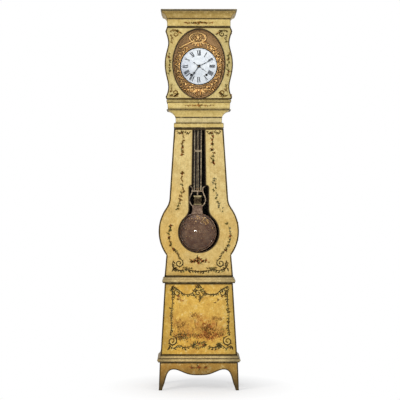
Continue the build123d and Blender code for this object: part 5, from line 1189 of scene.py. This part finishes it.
gilding = Brush(bob_face, 2.2)
for _ in range(34):
    turn, out = math.radians(68 + hand.gauss(0, 24)), hand.uniform(68, 102)
    x, z = BOB[0] + out * math.cos(turn), BOB[1] + out * math.sin(turn)
    gilding.leaf(x, z, hand.uniform(0, 360), hand.uniform(7, 14), 3.6)
for _ in range(26):
    turn, out = hand.uniform(0, 2 * math.pi), hand.uniform(30, 104)
    gilding.dot(BOB[0] + out * math.cos(turn), BOB[1] + out * math.sin(turn), hand.uniform(1, 2))
GILT = old_brass("worn gilding", "#c9a267", "#8f6c42", "#3a2716", 0.35, 8)
gilding.make("worn gilding", GILT, "pendulum", "pendulum_bob")
cross = Brush(front("pendulum_bars") + 0.3, 1.2)
for side in (-1, 1):
    cross.stroke([leaning(side * 13, 1256), leaning(-side * 13, 1274)], (2.2, 3.2, 2.2))
cross.dot(*leaning(0, 1265), 4)
cross.make("gilt cross", SURROUND_BRASS, "pendulum", "pendulum_lyre")

# ---------------------------------------------------------------- weights and lines
# Two cast-iron weights, painted black, hang on gut lines. On the clock each line is wound in as its weight
# rises; here each line is a plain ten-sided rod in the place of the CAD line, which is hidden.

coat(CAST, "going_weight", "strike_weight")
GUT = flat_paint("gut line", "#8a6e47", "#6f5636", 0.7, 4)
SIDES = 10
for train in ("going", "strike"):
    low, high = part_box(train + "_line")
    x, y, radius = (low.x + high.x) / 2, (low.y + high.y) / 2, (high.x - low.x) / 2
    turns = [step * 2 * math.pi / SIDES for step in range(SIDES)]
    verts = [((x + radius * math.cos(turn)) / MM, (y + radius * math.sin(turn)) / MM, z / MM)
             for z in (low.z, high.z) for turn in turns]
    faces = [(step, (step + 1) % SIDES, (step + 1) % SIDES + SIDES, step + SIDES) for step in range(SIDES)]
    faces += [tuple(range(SIDES - 1, -1, -1)), tuple(range(SIDES, 2 * SIDES))]
    line = solid(train + " gut line", verts, faces, GUT, "case")
    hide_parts(train + "_line")
    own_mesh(line)

# ---------------------------------------------------------------- stage and light
# The clock stands on a white floor in a white room. Both look plain white to the camera, but for the soft
# shadow close to the feet. A large lamp from the left is the key, with two fills and a small flash beside
# the camera.


def seen_white(tree, shaded, kind, share):
    """White to the camera, to mirrors and through glass, and the given shader for all other rays."""
    seen = add(tree, "LightPath", out="Is Camera Ray")
    for ray in ("Is Glossy Ray", "Is Transmission Ray"):
        seen = add(tree, "Math", {0: seen, 1: add(tree, "LightPath", out=ray)}, operation="MAXIMUM")
    part = add(tree, "Math", {0: seen, 1: share}, operation="MULTIPLY")
    white = add(tree, kind, {"Color": (1, 1, 1, 1), "Strength": 1.0})
    return add(tree, "MixShader", {0: part, 1: shaded, 2: white})


FLOOR, tree, shader = new_material("white studio floor", Roughness=0.9, Base_Color=linear("#ffffff"))
away = add(tree, "VectorMath", {0: add(tree, "TexCoord", out="Object")}, out="Value", operation="LENGTH")
clear = add(tree, "MapRange", {0: away, 1: 0.28, 2: 0.62, 3: 0.56})
white = seen_white(tree, shader.outputs[0], "Emission", clear)
tree.links.new(white, tree.nodes["Material Output"].inputs["Surface"])
mesh = bpy.data.meshes.new("floor")
mesh.from_pydata([(-8, -8, 0), (8, -8, 0), (8, 9, 0), (-8, 9, 0)], [], [(0, 1, 2, 3)])
mesh.materials.append(FLOOR)
floor = bpy.data.objects.new("floor", mesh)
bpy.context.collection.objects.link(floor)

world = bpy.data.worlds.new("studio")
bpy.context.scene.world = world
world.use_nodes = True
tree = world.node_tree
room = tree.nodes["Background"]
room.inputs["Color"].default_value = linear("#f4f6fa")
room.inputs["Strength"].default_value = 0.55
white = seen_white(tree, room.outputs[0], "Background", 1.0)
tree.links.new(white, tree.nodes["World Output"].inputs["Surface"])


def softbox(name, location, target, width, height, power, colour="#ffffff"):
    """A large soft rectangular light aimed at a point."""
    data = bpy.data.lights.new(name, "AREA")
    data.shape = "RECTANGLE"
    data.size = width
    data.size_y = height
    data.energy = power
    data.color = linear(colour)[:3]
    lamp = bpy.data.objects.new(name, data)
    lamp.location = location
    lamp.rotation_euler = (Vector(target) - Vector(location)).to_track_quat("-Z", "Y").to_euler()
    bpy.context.collection.objects.link(lamp)


softbox("key", (-3.3, -3.1, 2.9), (0, 0, 1.2), 0.8, 1.5, 110, "#fff8ee")
softbox("side fill", (3.2, -3.4, 2.2), (0, 0, 1.2), 2.0, 2.6, 34)
softbox("front fill", (0.3, -5.2, 2.9), (0, 0, 1.0), 2.6, 1.2, 26)
softbox("flash", (-0.364, -8.9, 0.855), (0, 0, 1.0), 0.44, 0.2, 20)

scene = bpy.context.scene
scene.view_settings.view_transform = "Standard"
